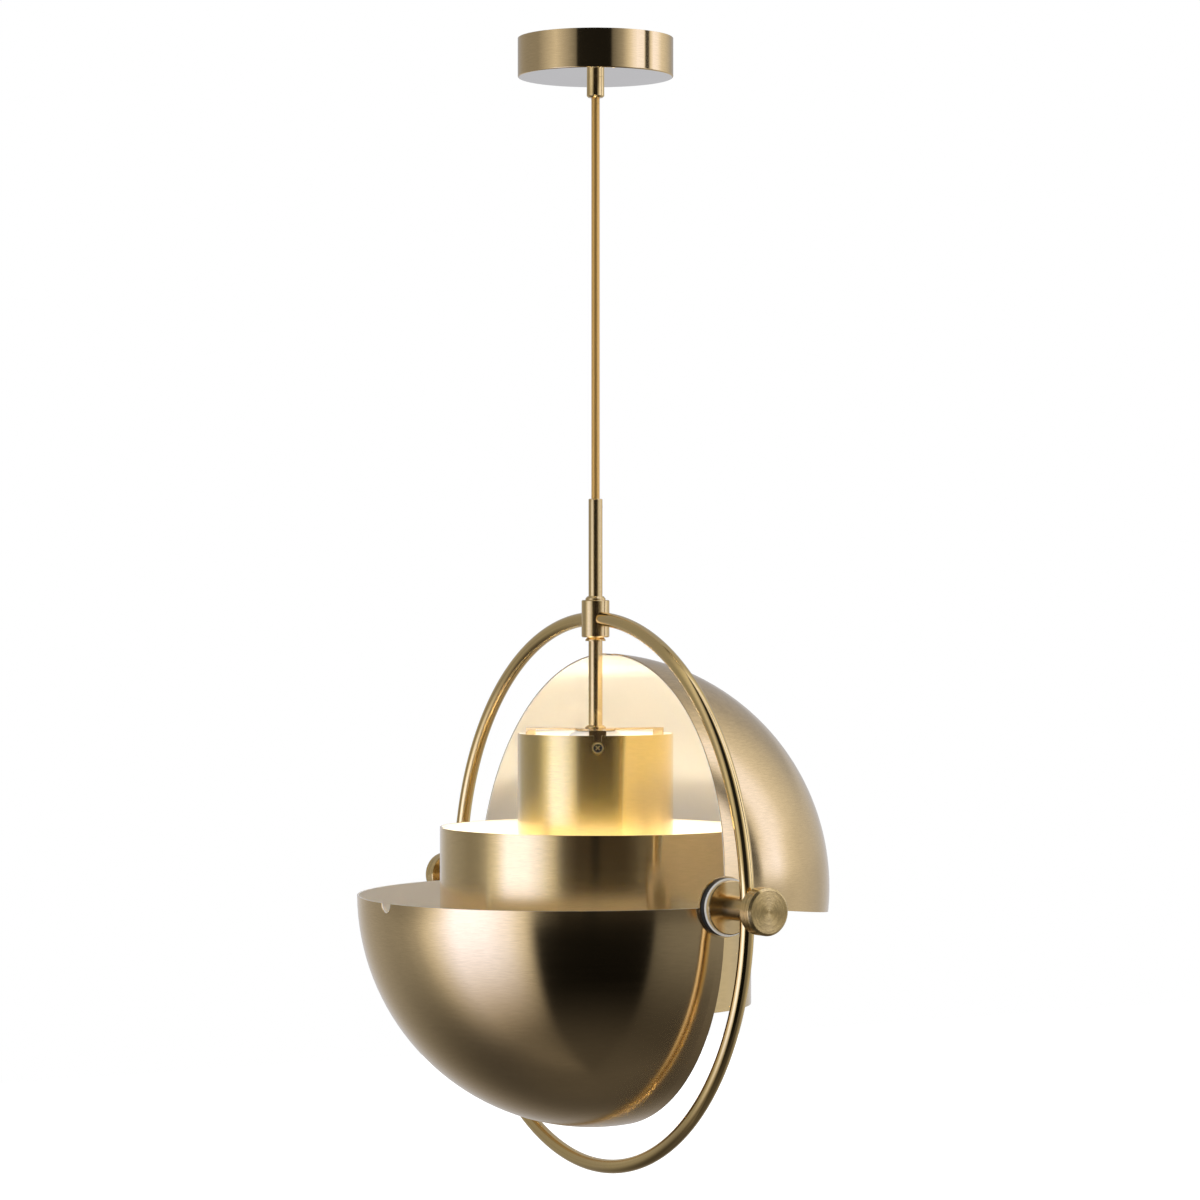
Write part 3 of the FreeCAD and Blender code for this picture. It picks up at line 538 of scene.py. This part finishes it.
class LAMP_OT_camera(bpy.types.Operator):
    """Place the camera where the product view was taken from"""
    bl_idname = "lamp.camera"
    bl_label = "Place Camera"

    def execute(self, context):
        view = settings("camera")
        place = (view.distance * math.sin(view.azimuth), -view.distance * math.cos(view.azimuth), view.height)
        deselect_all()
        bpy.ops.object.camera_add(location=place, rotation=(math.radians(90), 0, view.azimuth))
        camera = context.object
        camera.name = "product_camera"
        camera.data.lens = view.lens
        camera.data.sensor_width = 36.0
        camera.data.shift_x = view.shift
        camera.data.clip_start = 0.05
        camera.data.clip_end = 60.0
        context.scene.camera = camera
        return {"FINISHED"}


def cord_route():
    """The cord's line from inside the grip to inside the upper stem, as a smooth spline's own points."""
    top, bottom = cord_high.z, cord_low.z
    curve = bpy.data.curves.new("cord_route", "CURVE")
    curve.dimensions = "3D"
    spline = curve.splines.new("NURBS")
    spans = 4
    spline.points.add(spans)
    for index, point in enumerate(spline.points):
        point.co = (0.0, 0.0, top + (bottom - top) * index / spans, 1.0)
    spline.order_u = 3
    spline.use_endpoint_u = True
    spline.resolution_u = 12
    line = bpy.data.objects.new("cord_route", curve)
    bpy.context.scene.collection.objects.link(line)
    bpy.context.view_layer.update()
    mesh = bpy.data.meshes.new_from_object(line)
    points = [tuple(vertex.co) for vertex in mesh.vertices]
    bpy.data.objects.remove(line)
    bpy.data.meshes.remove(mesh)
    return points


class LAMP_OT_suspension_cord(bpy.types.Operator):
    """Braid the golden cord between the grip and the upper stem"""
    bl_idname = "lamp.suspension_cord"
    bl_label = "Braid Cord"

    def execute(self, context):
        cord = settings("cord")
        path = cord_route()
        length = cord_high.z - cord_low.z
        radius = cord.diameter / 2
        rows = round(length / BRAID_ROW)
        deselect_all()
        bpy.ops.mesh.primitive_circle_add(vertices=BRAID_SIDES, radius=radius, fill_type="NOTHING",
                                          location=(0, 0, cord_low.z))
        piece = context.object
        piece.name = "suspension_cord_braid"
        screw = piece.modifiers.new("length", "SCREW")
        screw.angle = 0
        screw.screw_offset = length
        screw.steps = rows
        screw.render_steps = rows
        bpy.ops.object.modifier_apply(modifier=screw.name)
        settle(piece)
        self.close_ends(piece)
        self.lay_yarns(piece, cord, radius)
        smooth(piece, 60)
        piece.data.materials.clear()
        piece.data.materials.append(self.yarn_material(cord))
        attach(piece, BODY)
        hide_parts("suspension_cord")
        return {"FINISHED"}

    def close_ends(self, piece):
        """Fills both cut ends of the tube and points its faces outwards."""
        select_only(piece)
        bpy.ops.object.mode_set(mode="EDIT")
        bpy.ops.mesh.select_mode(type="EDGE")
        bpy.ops.mesh.select_all(action="DESELECT")
        bpy.ops.mesh.select_non_manifold()
        bpy.ops.mesh.edge_face_add()
        bpy.ops.mesh.select_all(action="SELECT")
        bpy.ops.mesh.normals_make_consistent(inside=False)
        bpy.ops.object.mode_set(mode="OBJECT")

    def lay_yarns(self, piece, cord, radius):
        """Presses the crossing yarns of the braid into the tube and keeps their height as an attribute."""
        mesh = piece.data
        points = np.empty(len(mesh.vertices) * 3)
        mesh.vertices.foreach_get("co", points)
        points = points.reshape(-1, 3)
        angle = np.arctan2(points[:, 1], points[:, 0])
        turn = 2 * math.pi * points[:, 2] / cord.braid_pitch
        count = cord.carriers
        left = np.cos(count * (angle + turn) / 2) ** 2
        right = np.cos(count * (angle - turn) / 2) ** 2
        over = 0.5 + 0.5 * np.sign(np.sin(count * angle / 2) * np.sin(count * turn / 2))
        height = np.clip(np.maximum(left * (0.72 + 0.28 * over), right * (1.0 - 0.28 * over)), 0, 1) ** 0.6
        scale = (radius - cord.yarn_relief * (1 - height)) / np.hypot(points[:, 0], points[:, 1])
        points[:, 0] *= scale
        points[:, 1] *= scale
        mesh.vertices.foreach_set("co", points.ravel())
        mesh.attributes.new("yarn_height", "FLOAT", "POINT").data.foreach_set("value", height)
        mesh.update()

    def yarn_material(self, cord):
        """Golden yarn, darker in its grooves with painted shade."""
        material, bench, out = new_material("golden_braid")
        height = bench.add("ShaderNodeAttribute", {"attribute_name": "yarn_height"}).outputs["Fac"]
        where = place_coordinates(bench)
        stretched = bench.add("ShaderNodeMapping", Vector=where)
        stretched.inputs["Scale"].default_value = (9000, 9000, 2500)
        fibre = bench.add("ShaderNodeTexNoise", Vector=stretched.outputs[0], Scale=1.0, Detail=2.0)
        # The groove colour is painted shade between the yarns.
        tone = bench.mix(bench.step(height, 0.35, 0.95), tuple(cord.groove_shade_color), tuple(cord.yarn_color))
        tint = bench.add("ShaderNodeHueSaturation", Color=tone,
                         Value=bench.between(fibre.outputs[0], 0.75, 1.25))
        bump = bench.add("ShaderNodeBump", Strength=0.3, Distance=0.0001, Height=fibre.outputs[0])
        shader = bench.add("ShaderNodeBsdfPrincipled", Base_Color=tint.outputs[0], Normal=bump.outputs[0],
                           Roughness=bench.between(height, 0.45, 0.30))
        shader.inputs["Metallic"].default_value = 0.8
        shader.inputs["Sheen Weight"].default_value = 0.25
        bench.show(out, shader)
        return material


# ---- finishes of the lamp's pieces --------------------------------------------------------------

class LAMP_OT_shared_effects(bpy.types.Operator):
    """Build the node groups that several finishes use"""
    bl_idname = "lamp.shared_effects"
    bl_label = "Build Shared Effects"

    def execute(self, context):
        build_turned_lines()
        build_handled_patches()
        return {"FINISHED"}


class LAMP_OT_ceiling_end(bpy.types.Operator):
    """Finish the canopy, the grip and what hides in the canopy"""
    bl_idname = "lamp.ceiling_end"
    bl_label = "Finish Ceiling End"

    def execute(self, context):
        canopy = two_sided_material("canopy_brass", self.underside, 0.8, haze=-0.09, plating=UNDERSIDE)
        finish_nodes(canopy, "canopy_cup")
        grip = brass_material("grip_brass", lines_per_metre=6000.0, haze=-0.10, warmth=0.4)
        finish_nodes(grip, "cord_grip")
        steel = tuple(settings("metal").steel_color)
        zinc = plain_material("zinc_plate", steel, tuple(0.8 * value for value in steel), 0.38, metallic=1.0,
                              grain=1500.0)
        finish_nodes(zinc, "ceiling_bracket", "nipple_nut", "threaded_nipple", "grip_screw", "stem_screw")
        finish_nodes(plain_material("terminal_plastic", *TERMINAL_PLASTIC, 0.45), "terminal_block")
        return {"FINISHED"}

    def underside(self, bench):
        """1 on the canopy's pale bottom and in its hollow."""
        x, y, z = bench.parts(place_coordinates(bench))
        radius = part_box("canopy_cup")[1][0]
        return bench.under(bench.reach(x, y), *(radius - depth for depth in CANOPY_LIP))


class LAMP_OT_stems(bpy.types.Operator):
    """Finish the stems, the hub and their collars"""
    bl_idname = "lamp.stems"
    bl_label = "Finish Stems and Hub"

    def execute(self, context):
        turned = brass_material("stem_brass", lines_per_metre=6000.0, warmth=0.25)
        finish_nodes(turned, "upper_stem", "lower_stem", "hub_sleeve", "hub_top_collar", "hub_bottom_collar",
                     "stem_foot_collar")
        finish_nodes(plain_material("core_insulation", *CORE_INSULATION, 0.4), "core_wires")
        return {"FINISHED"}


class LAMP_OT_ring(bpy.types.Operator):
    """Finish the upright ring, polished along its tube"""
    bl_idname = "lamp.ring"
    bl_label = "Finish Ring"

    def execute(self, context):
        material, bench, out = new_material("ring_brass")
        low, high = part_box("ring_lower")
        tube = (high[1] - low[1]) / 2
        centreline = (high[0] - low[0]) / 2 - tube
        x, y, z = bench.parts(place_coordinates(bench, PIVOT))
        section = bench.math("ARCTAN2", y, bench.math("SUBTRACT", bench.reach(x, z), centreline))
        along = bench.math("ARCTAN2", z, x)
        spread = bench.add("ShaderNodeCombineXYZ", X=bench.times(along, centreline),
                           Z=bench.times(section, tube))
        # The ring's warmth paints in part the bulb's warm light that it reflects.
        color, rough, normal = brass_nodes(bench, spread.outputs[0], lines_per_metre=5000.0, relief=0.05,
                                           warmth=0.45)
        shader = bench.add("ShaderNodeBsdfPrincipled", Base_Color=color, Metallic=1.0, Normal=normal,
                           Roughness=bench.times(rough, 0.55))
        bench.show(out, shader)
        finish_nodes(material, "ring_upper_left", "ring_upper_right", "ring_lower")
        return {"FINISHED"}


class LAMP_OT_cylinders(bpy.types.Operator):
    """Finish the nested cylinders: brushed brass outside, painted white inside"""
    bl_idname = "lamp.cylinders"
    bl_label = "Finish Cylinders"

    def execute(self, context):
        # The upper cylinder's strong warmth is mostly a painted reflection of the warm light from the lit
        # insides.
        for node, radius, warmth, haze, lacquer in (("drum_cylinder", drum_radius, 0.3, -0.04, 0.4),
                                                    ("upper_cylinder", small_radius, 1.05, 0.02, 0.8),
                                                    ("lower_cylinder", small_radius, 0.0, 0.02, 0.4)):
            material = two_sided_material(node + "_finish", partial(self.painted, radius=radius), 0.94,
                                          warmth=warmth, haze=haze, relief=0.02, lacquer=lacquer)
            finish_nodes(material, node)
        white = plain_material("bracket_paint", tuple(settings("shade").paint_color), BRACKET_PATCH, 0.5)
        finish_nodes(white, "upper_drum_bracket", "lower_drum_bracket")
        finish_nodes(brass_material("spider_brass", stretch=0.2), "spider_bracket")
        self.finish_screws()
        return {"FINISHED"}

    def finish_screws(self):
        """Turned screw heads with a painted-shade dark groove and a cross recess, each seen along its own
        radius.
        """
        material, bench, out = new_material("screw_brass")
        low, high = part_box("body_screws")
        x, y, z = bench.parts(place_coordinates(bench))
        third = 2 * math.pi / 3
        turn = bench.math("DIVIDE", bench.math("SUBTRACT", bench.math("ARCTAN2", y, x), math.pi / 2), third)
        beside = bench.math("SUBTRACT", turn, bench.math("ROUND", turn))
        u = bench.times(beside, third * small_radius)
        v = bench.math("SUBTRACT", z, (low[2] + high[2]) / 2)
        head = (high[2] - low[2]) / 2
        reach = bench.math("DIVIDE", bench.reach(u, v), head)
        rising = bench.math("ABSOLUTE", bench.math("ADD", u, v))
        falling = bench.math("ABSOLUTE", bench.math("SUBTRACT", u, v))
        narrow = bench.math("DIVIDE", bench.math("MINIMUM", rising, falling), head)
        recess = bench.times(bench.under(narrow, 0.10, 0.20), bench.under(reach, 0.38, 0.46))
        rim = bench.step(reach, 0.66, 0.76)
        bright = bench.math("MAXIMUM", rim, recess)
        # All but the rim and the cross is painted shade of the groove, near black and dull.
        face = bench.mix(bright, SCREW_GROOVE_SHADE, SCREW_GOLD)
        height = bench.math("ADD", rim, bench.times(recess, 0.5))
        bump = bench.add("ShaderNodeBump", Strength=0.8, Distance=0.0004, Height=height)
        shader = bench.add("ShaderNodeBsdfPrincipled", Base_Color=face, Metallic=bright, Roughness=0.35,
                           Normal=bump.outputs[0])
        shader.inputs["Specular IOR Level"].default_value = 0.08
        bench.show(out, shader)
        finish_nodes(material, "body_screws")

    def painted(self, bench, radius):
        """1 on the inner wall of a cylinder, from its distance to the upright axis."""
        x, y, z = bench.parts(place_coordinates(bench))
        edge = radius - PAINT_DEPTH * settings("shade").sheet
        return bench.under(bench.reach(x, y), edge - PAINT_EDGE, edge + PAINT_EDGE)


class LAMP_OT_shades(bpy.types.Operator):
    """Finish the two shades: brushed brass outside, painted white inside"""
    bl_idname = "lamp.shades"
    bl_label = "Finish Shades"

    def execute(self, context):
        shade = settings("shade")
        lean = shade.rear_lean
        drop = shade.front_drop
        centres = {
            "front_shade": PIVOT + shade.offset * Vector((0, -math.cos(drop), -math.sin(drop))),
            "rear_shade": PIVOT + shade.offset * Vector((0, math.sin(lean), math.cos(lean))),
        }
        for node, centre in centres.items():
            material = two_sided_material(node + "_finish", partial(self.painted, centre=centre), 0.80,
                                          centre=PIVOT, haze=-0.05, relief=0.03)
            finish_nodes(material, node)
        return {"FINISHED"}

    def painted(self, bench, centre):
        """1 on the inner wall of a shade, from its distance to the sphere's centre."""
        shade = settings("shade")
        where = place_coordinates(bench, centre)
        reach = bench.add("ShaderNodeVectorMath", {"operation": "LENGTH"}, i0=where).outputs["Value"]
        edge = shade.radius - PAINT_DEPTH * shade.sheet
        return bench.under(reach, edge - PAINT_EDGE, edge + PAINT_EDGE)


class LAMP_OT_pivots(bpy.types.Operator):
    """Finish the discs, washers, necks, spindles and knobs at both ends of the axis"""
    bl_idname = "lamp.pivots"
    bl_label = "Finish Pivots and Knobs"

    def execute(self, context):
        turned = brass_material("pivot_brass", centre=PIVOT, axis="X", lines_per_metre=1600.0, relief=0.5,
                                warmth=0.3)
        knob = brass_material("knob_brass", centre=PIVOT, axis="X", lines_per_metre=800.0, relief=2.0,
                              edge=0.0006, haze=0.04, warmth=0.4, contrast=0.6)
        nylon = self.edged_nylon()
        rubber = plain_material("black_rubber", *BLACK_RUBBER, 0.65)
        white = plain_material("washer_white", *WHITE_PLASTIC, 0.42)
        zinc = bpy.data.materials["zinc_plate"]
        for side in SIDES:
            finish_nodes(turned, side + "_pivot_disc", side + "_pivot_barrel")
            finish_nodes(knob, side + "_knob")
            finish_nodes(nylon, side + "_nylon_washer")
            finish_nodes(white, side + "_ear_washer")
            finish_nodes(rubber, side + "_rubber_washer")
            finish_nodes(zinc, side + "_spindle", side + "_spindle_nut", side + "_inner_washer")
        return {"FINISHED"}

    def edged_nylon(self):
        """White nylon next to the disc, black over the back of its thickness."""
        low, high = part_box("right_nylon_washer")
        material, bench, out = new_material("white_nylon")
        where = place_coordinates(bench)
        x, y, z = bench.parts(where)
        middle = low[0] + BLACK_BACK_DEPTH * (high[0] - low[0])
        front = bench.step(bench.math("ABSOLUTE", x), middle - 0.00005, middle + 0.00005)
        marks = place_group(bench, "Handled Patches", Vector=where, Scale=FINE_SCALE)
        white = bench.mix(marks["Patches"], *WHITE_PLASTIC)
        shader = bench.add("ShaderNodeBsdfPrincipled", Base_Color=bench.mix(front, PLAIN_BLACK, white),
                           Roughness=bench.between(marks["Patches"], 0.40, 0.46))
        bench.show(out, shader)
        return material


class LAMP_OT_bulb(bpy.types.Operator):
    """Finish the lampholder and light the bulb"""
    bl_idname = "lamp.bulb"
    bl_label = "Finish Lampholder and Bulb"

    def execute(self, context):
        finish_nodes(plain_material("holder_plastic", *HOLDER_PLASTIC, 0.4), "lampholder_body")
        finish_nodes(self.cap_finish(), "lampholder_cap")
        finish_nodes(brass_material("contact_brass", stretch=0.0), "holder_contact")
        cap = plain_material("bulb_cap_aluminium", *CAP_ALUMINIUM, 0.32, metallic=1.0)
        finish_nodes(cap, "bulb_cap")
        light = settings("light")
        material, bench, out = new_material("opal_glass_lit")
        x, y, z = bench.parts(place_coordinates(bench))
        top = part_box("bulb_glass")[1][2]
        neck = bench.step(z, *(top - depth for depth in BULB_NECK))
        glow = bench.mix(neck, tuple(light.bulb_color), tuple(0.2 * value for value in light.bulb_color))
        shader = bench.add("ShaderNodeBsdfPrincipled", Base_Color=OPAL_WHITE, Emission_Color=glow,
                           Emission_Strength=light.bulb_strength, Roughness=0.3)
        bench.show(out, shader)
        finish_nodes(material, "bulb_glass")
        return {"FINISHED"}

    def cap_finish(self):
        """A pale cap with a black middle where the wires come in."""
        material, bench, out = new_material("lampholder_cap_finish")
        where = place_coordinates(bench)
        x, y, z = bench.parts(where)
        marks = place_group(bench, "Handled Patches", Vector=where, Scale=FINE_SCALE)
        color = bench.mix(bench.step(bench.reach(x, y), *WIRE_HOLE), PLAIN_BLACK, CAP_WHITE)
        shader = bench.add("ShaderNodeBsdfPrincipled", Base_Color=color,
                           Roughness=bench.between(marks["Patches"], 0.38, 0.46))
        bench.show(out, shader)
        return material


# ---- studio -------------------------------------------------------------------------------------

class LAMP_OT_studio(bpy.types.Operator):
    """Set up the pale floor, the white background, the light tent and the softbox"""
    bl_idname = "lamp.studio"
    bl_label = "Set Up Studio"

    def execute(self, context):
        studio = settings("studio")
        self.light_room(context, studio)
        self.lay_floor(context, studio)
        self.raise_tent(context, studio)
        self.hang_softbox(context, studio)
        context.scene.view_settings.view_transform = "Standard"
        return {"FINISHED"}

    def light_room(self, context, studio):
        """A soft even world that is white where the camera sees it, and through glass."""
        world = bpy.data.worlds.new("studio_world")
        context.scene.world = world
        world.use_nodes = True
        world.node_tree.nodes.clear()
        bench = Bench(world.node_tree)
        strength = bench.between(self.shown(bench), studio.ambient, 1.0)
        light = bench.add("ShaderNodeBackground", Color=(1, 1, 1, 1), Strength=strength)
        bench.show(bench.add("ShaderNodeOutputWorld"), light)

    def shown(self, bench):
        """1 for rays from the camera, from metal and through glass."""
        path = bench.add("ShaderNodeLightPath")
        looks = bench.math("MAXIMUM", path.outputs["Is Camera Ray"], path.outputs["Is Glossy Ray"])
        return bench.math("MAXIMUM", looks, path.outputs["Is Transmission Ray"])

    def lay_floor(self, context, studio):
        """A pale floor far under the lamp that shows white and keeps a soft shadow."""
        deselect_all()
        bpy.ops.mesh.primitive_plane_add(size=30, location=(0, 0, -studio.floor_depth))
        floor = context.object
        floor.name = "floor"
        material, bench, out = new_material("pale_floor")
        matt = bench.add("ShaderNodeBsdfDiffuse", Color=rgba(tuple(studio.floor_color)))
        shine = bench.times(self.shown(bench), 0.62)
        white = bench.add("ShaderNodeEmission", Color=(1, 1, 1, 1), Strength=shine)
        both = bench.add("ShaderNodeAddShader", i0=matt.outputs[0], i1=white.outputs[0])
        bench.show(out, both)
        floor.data.materials.append(material)

    def raise_tent(self, context, studio):
        """A tent of grey and white cloth round the lamp, which only the metal shows."""
        deselect_all()
        bpy.ops.mesh.primitive_uv_sphere_add(segments=96, ring_count=48, radius=studio.tent_radius,
                                             location=PIVOT)
        tent = context.object
        tent.name = "light_tent"
        smooth(tent)
        material, bench, out = new_material("tent_cloth")
        where = bench.add("ShaderNodeTexCoord").outputs["Object"]
        turn = bench.add("ShaderNodeMapping", {"vector_type": "POINT"}, Vector=where)
        turn.inputs["Rotation"].default_value = (0, 0, math.radians(90) - settings("camera").azimuth)
        x, y, z = bench.parts(turn.outputs[0])
        bearing = bench.math("ADD", bench.math("DIVIDE", bench.math("ARCTAN2", y, x), 2 * math.pi), 0.5)
        aside = bench.math("ABSOLUTE", bench.math("SUBTRACT", bearing, 0.5))
        rise = bench.math("DIVIDE", bench.math("ARCSINE", bench.math("DIVIDE", z, studio.tent_radius)),
                          math.radians(1))
        low, level, middle, high = (self.ramp(bench, bearing, stops)
                                    for stops in (TENT_LOW, TENT_LEVEL, TENT_MIDDLE, TENT_HIGH))
        cloth = bench.between(bench.step(rise, *LOW_TO_LEVEL), low, level)
        cloth = bench.between(bench.step(rise, *LEVEL_TO_MIDDLE), cloth, middle)
        veil = bench.times(bench.step(rise, *VEIL_FOOT), bench.under(rise, *VEIL_TOP))
        slit = bench.step(bench.times(aside, 360.0), *VEIL_SLIT)
        glow = bench.times(veil, bench.between(slit, *VEIL_GLOW))
        cloth = bench.math("MAXIMUM", cloth, glow)
        cloth = bench.between(bench.step(rise, *MIDDLE_TO_HIGH), cloth, high)
        faded = bench.times(cloth, bench.between(bench.step(rise, -66.0, -5.0), 0.05, 1.0))
        ground = bench.between(bench.step(rise, -80.0, -35.0), 0.075, 0.0)
        strength = bench.times(bench.math("ADD", faded, ground), studio.tent_gain)
        tone = bench.mix(bench.step(cloth, 0.70, 1.90), CLOTH_DIM, CLOTH_BRIGHT)
        tone = bench.mix(bench.step(aside, 0.36, 0.46), tone, CLOTH_BEHIND)
        dusk = bench.times(veil, bench.under(cloth, 0.12, 0.30))
        tone = bench.mix(dusk, tone, CLOTH_DUSK)
        tone = bench.mix(bench.step(rise, -60.0, -20.0), CLOTH_FOOT, tone)
        light = bench.add("ShaderNodeEmission", Color=tone, Strength=strength)
        bench.show(out, light)
        tent.data.materials.append(material)
        for ray in ("camera", "diffuse", "shadow", "transmission", "volume_scatter"):
            setattr(tent, "visible_" + ray, False)

    def ramp(self, bench, factor, stops):
        """A brightness by bearing, with a stop for each place in the list."""
        node = bench.add("ShaderNodeValToRGB", Fac=factor)
        elements = node.color_ramp.elements
        elements[0].position, elements[1].position = 0.0, 1.0
        for place, value in stops[1:-1]:
            elements.new((place + 180) / 360)
        for element, (place, value) in zip(elements, stops):
            element.color = (value, value, value, 1.0)
        return node.outputs[0]

    def hang_softbox(self, context, studio):
        """A broad soft light to the camera's left, which metal doesn't show a second time."""
        turn = settings("camera").azimuth - SOFTBOX_BEARING
        place = (SOFTBOX_DISTANCE * math.sin(turn), -SOFTBOX_DISTANCE * math.cos(turn),
                 PIVOT.z + SOFTBOX_RISE)
        deselect_all()
        bpy.ops.object.light_add(type="AREA", location=place)
        softbox = context.object
        softbox.name = "left_softbox"
        softbox.rotation_euler = (PIVOT - Vector(place)).to_track_quat("-Z", "Y").to_euler()
        softbox.data.shape = "RECTANGLE"
        softbox.data.size, softbox.data.size_y = SOFTBOX_SIZE
        softbox.data.energy = studio.key
        softbox.visible_glossy = False


# ---- panel and run ------------------------------------------------------------------------------

STEPS = (LAMP_OT_shared_effects, LAMP_OT_camera, LAMP_OT_suspension_cord, LAMP_OT_ceiling_end, LAMP_OT_stems,
         LAMP_OT_ring, LAMP_OT_cylinders, LAMP_OT_shades, LAMP_OT_pivots, LAMP_OT_bulb, LAMP_OT_studio)
SETTINGS = {"cord": LampCordSettings, "metal": LampMetalSettings, "shade": LampShadeSettings,
            "light": LampLightSettings, "camera": LampCameraSettings, "studio": LampStudioSettings}


class LAMP_PT_workshop(bpy.types.Panel):
    """The lamp's steps and sizes"""
    bl_idname = "LAMP_PT_workshop"
    bl_label = "Ring Pendant Lamp"
    bl_space_type = "VIEW_3D"
    bl_region_type = "UI"
    bl_category = "Lamp"

    def draw(self, context):
        for step in STEPS:
            self.layout.operator(step.bl_idname)
        for name, group in SETTINGS.items():
            box = self.layout.box()
            box.label(text=name.title())
            for key in group.__annotations__:
                box.prop(settings(name), key)


def register():
    for group in SETTINGS.values():
        bpy.utils.register_class(group)
    for step in STEPS:
        bpy.utils.register_class(step)
    bpy.utils.register_class(LAMP_PT_workshop)
    for name, group in SETTINGS.items():
        setattr(bpy.types.Scene, "lamp_" + name, bpy.props.PointerProperty(type=group))


def unregister():
    for name in SETTINGS:
        delattr(bpy.types.Scene, "lamp_" + name)
    bpy.utils.unregister_class(LAMP_PT_workshop)
    for step in reversed(STEPS):
        bpy.utils.unregister_class(step)
    for group in reversed(list(SETTINGS.values())):
        bpy.utils.unregister_class(group)


def main():
    register()
    bpy.ops.lamp.shared_effects()
    bpy.ops.lamp.camera()
    bpy.ops.lamp.suspension_cord()
    bpy.ops.lamp.ceiling_end()
    bpy.ops.lamp.stems()
    bpy.ops.lamp.ring()
    bpy.ops.lamp.cylinders()
    bpy.ops.lamp.shades()
    bpy.ops.lamp.pivots()
    bpy.ops.lamp.bulb()
    bpy.ops.lamp.studio()


if __name__ == "__main__":
    main()
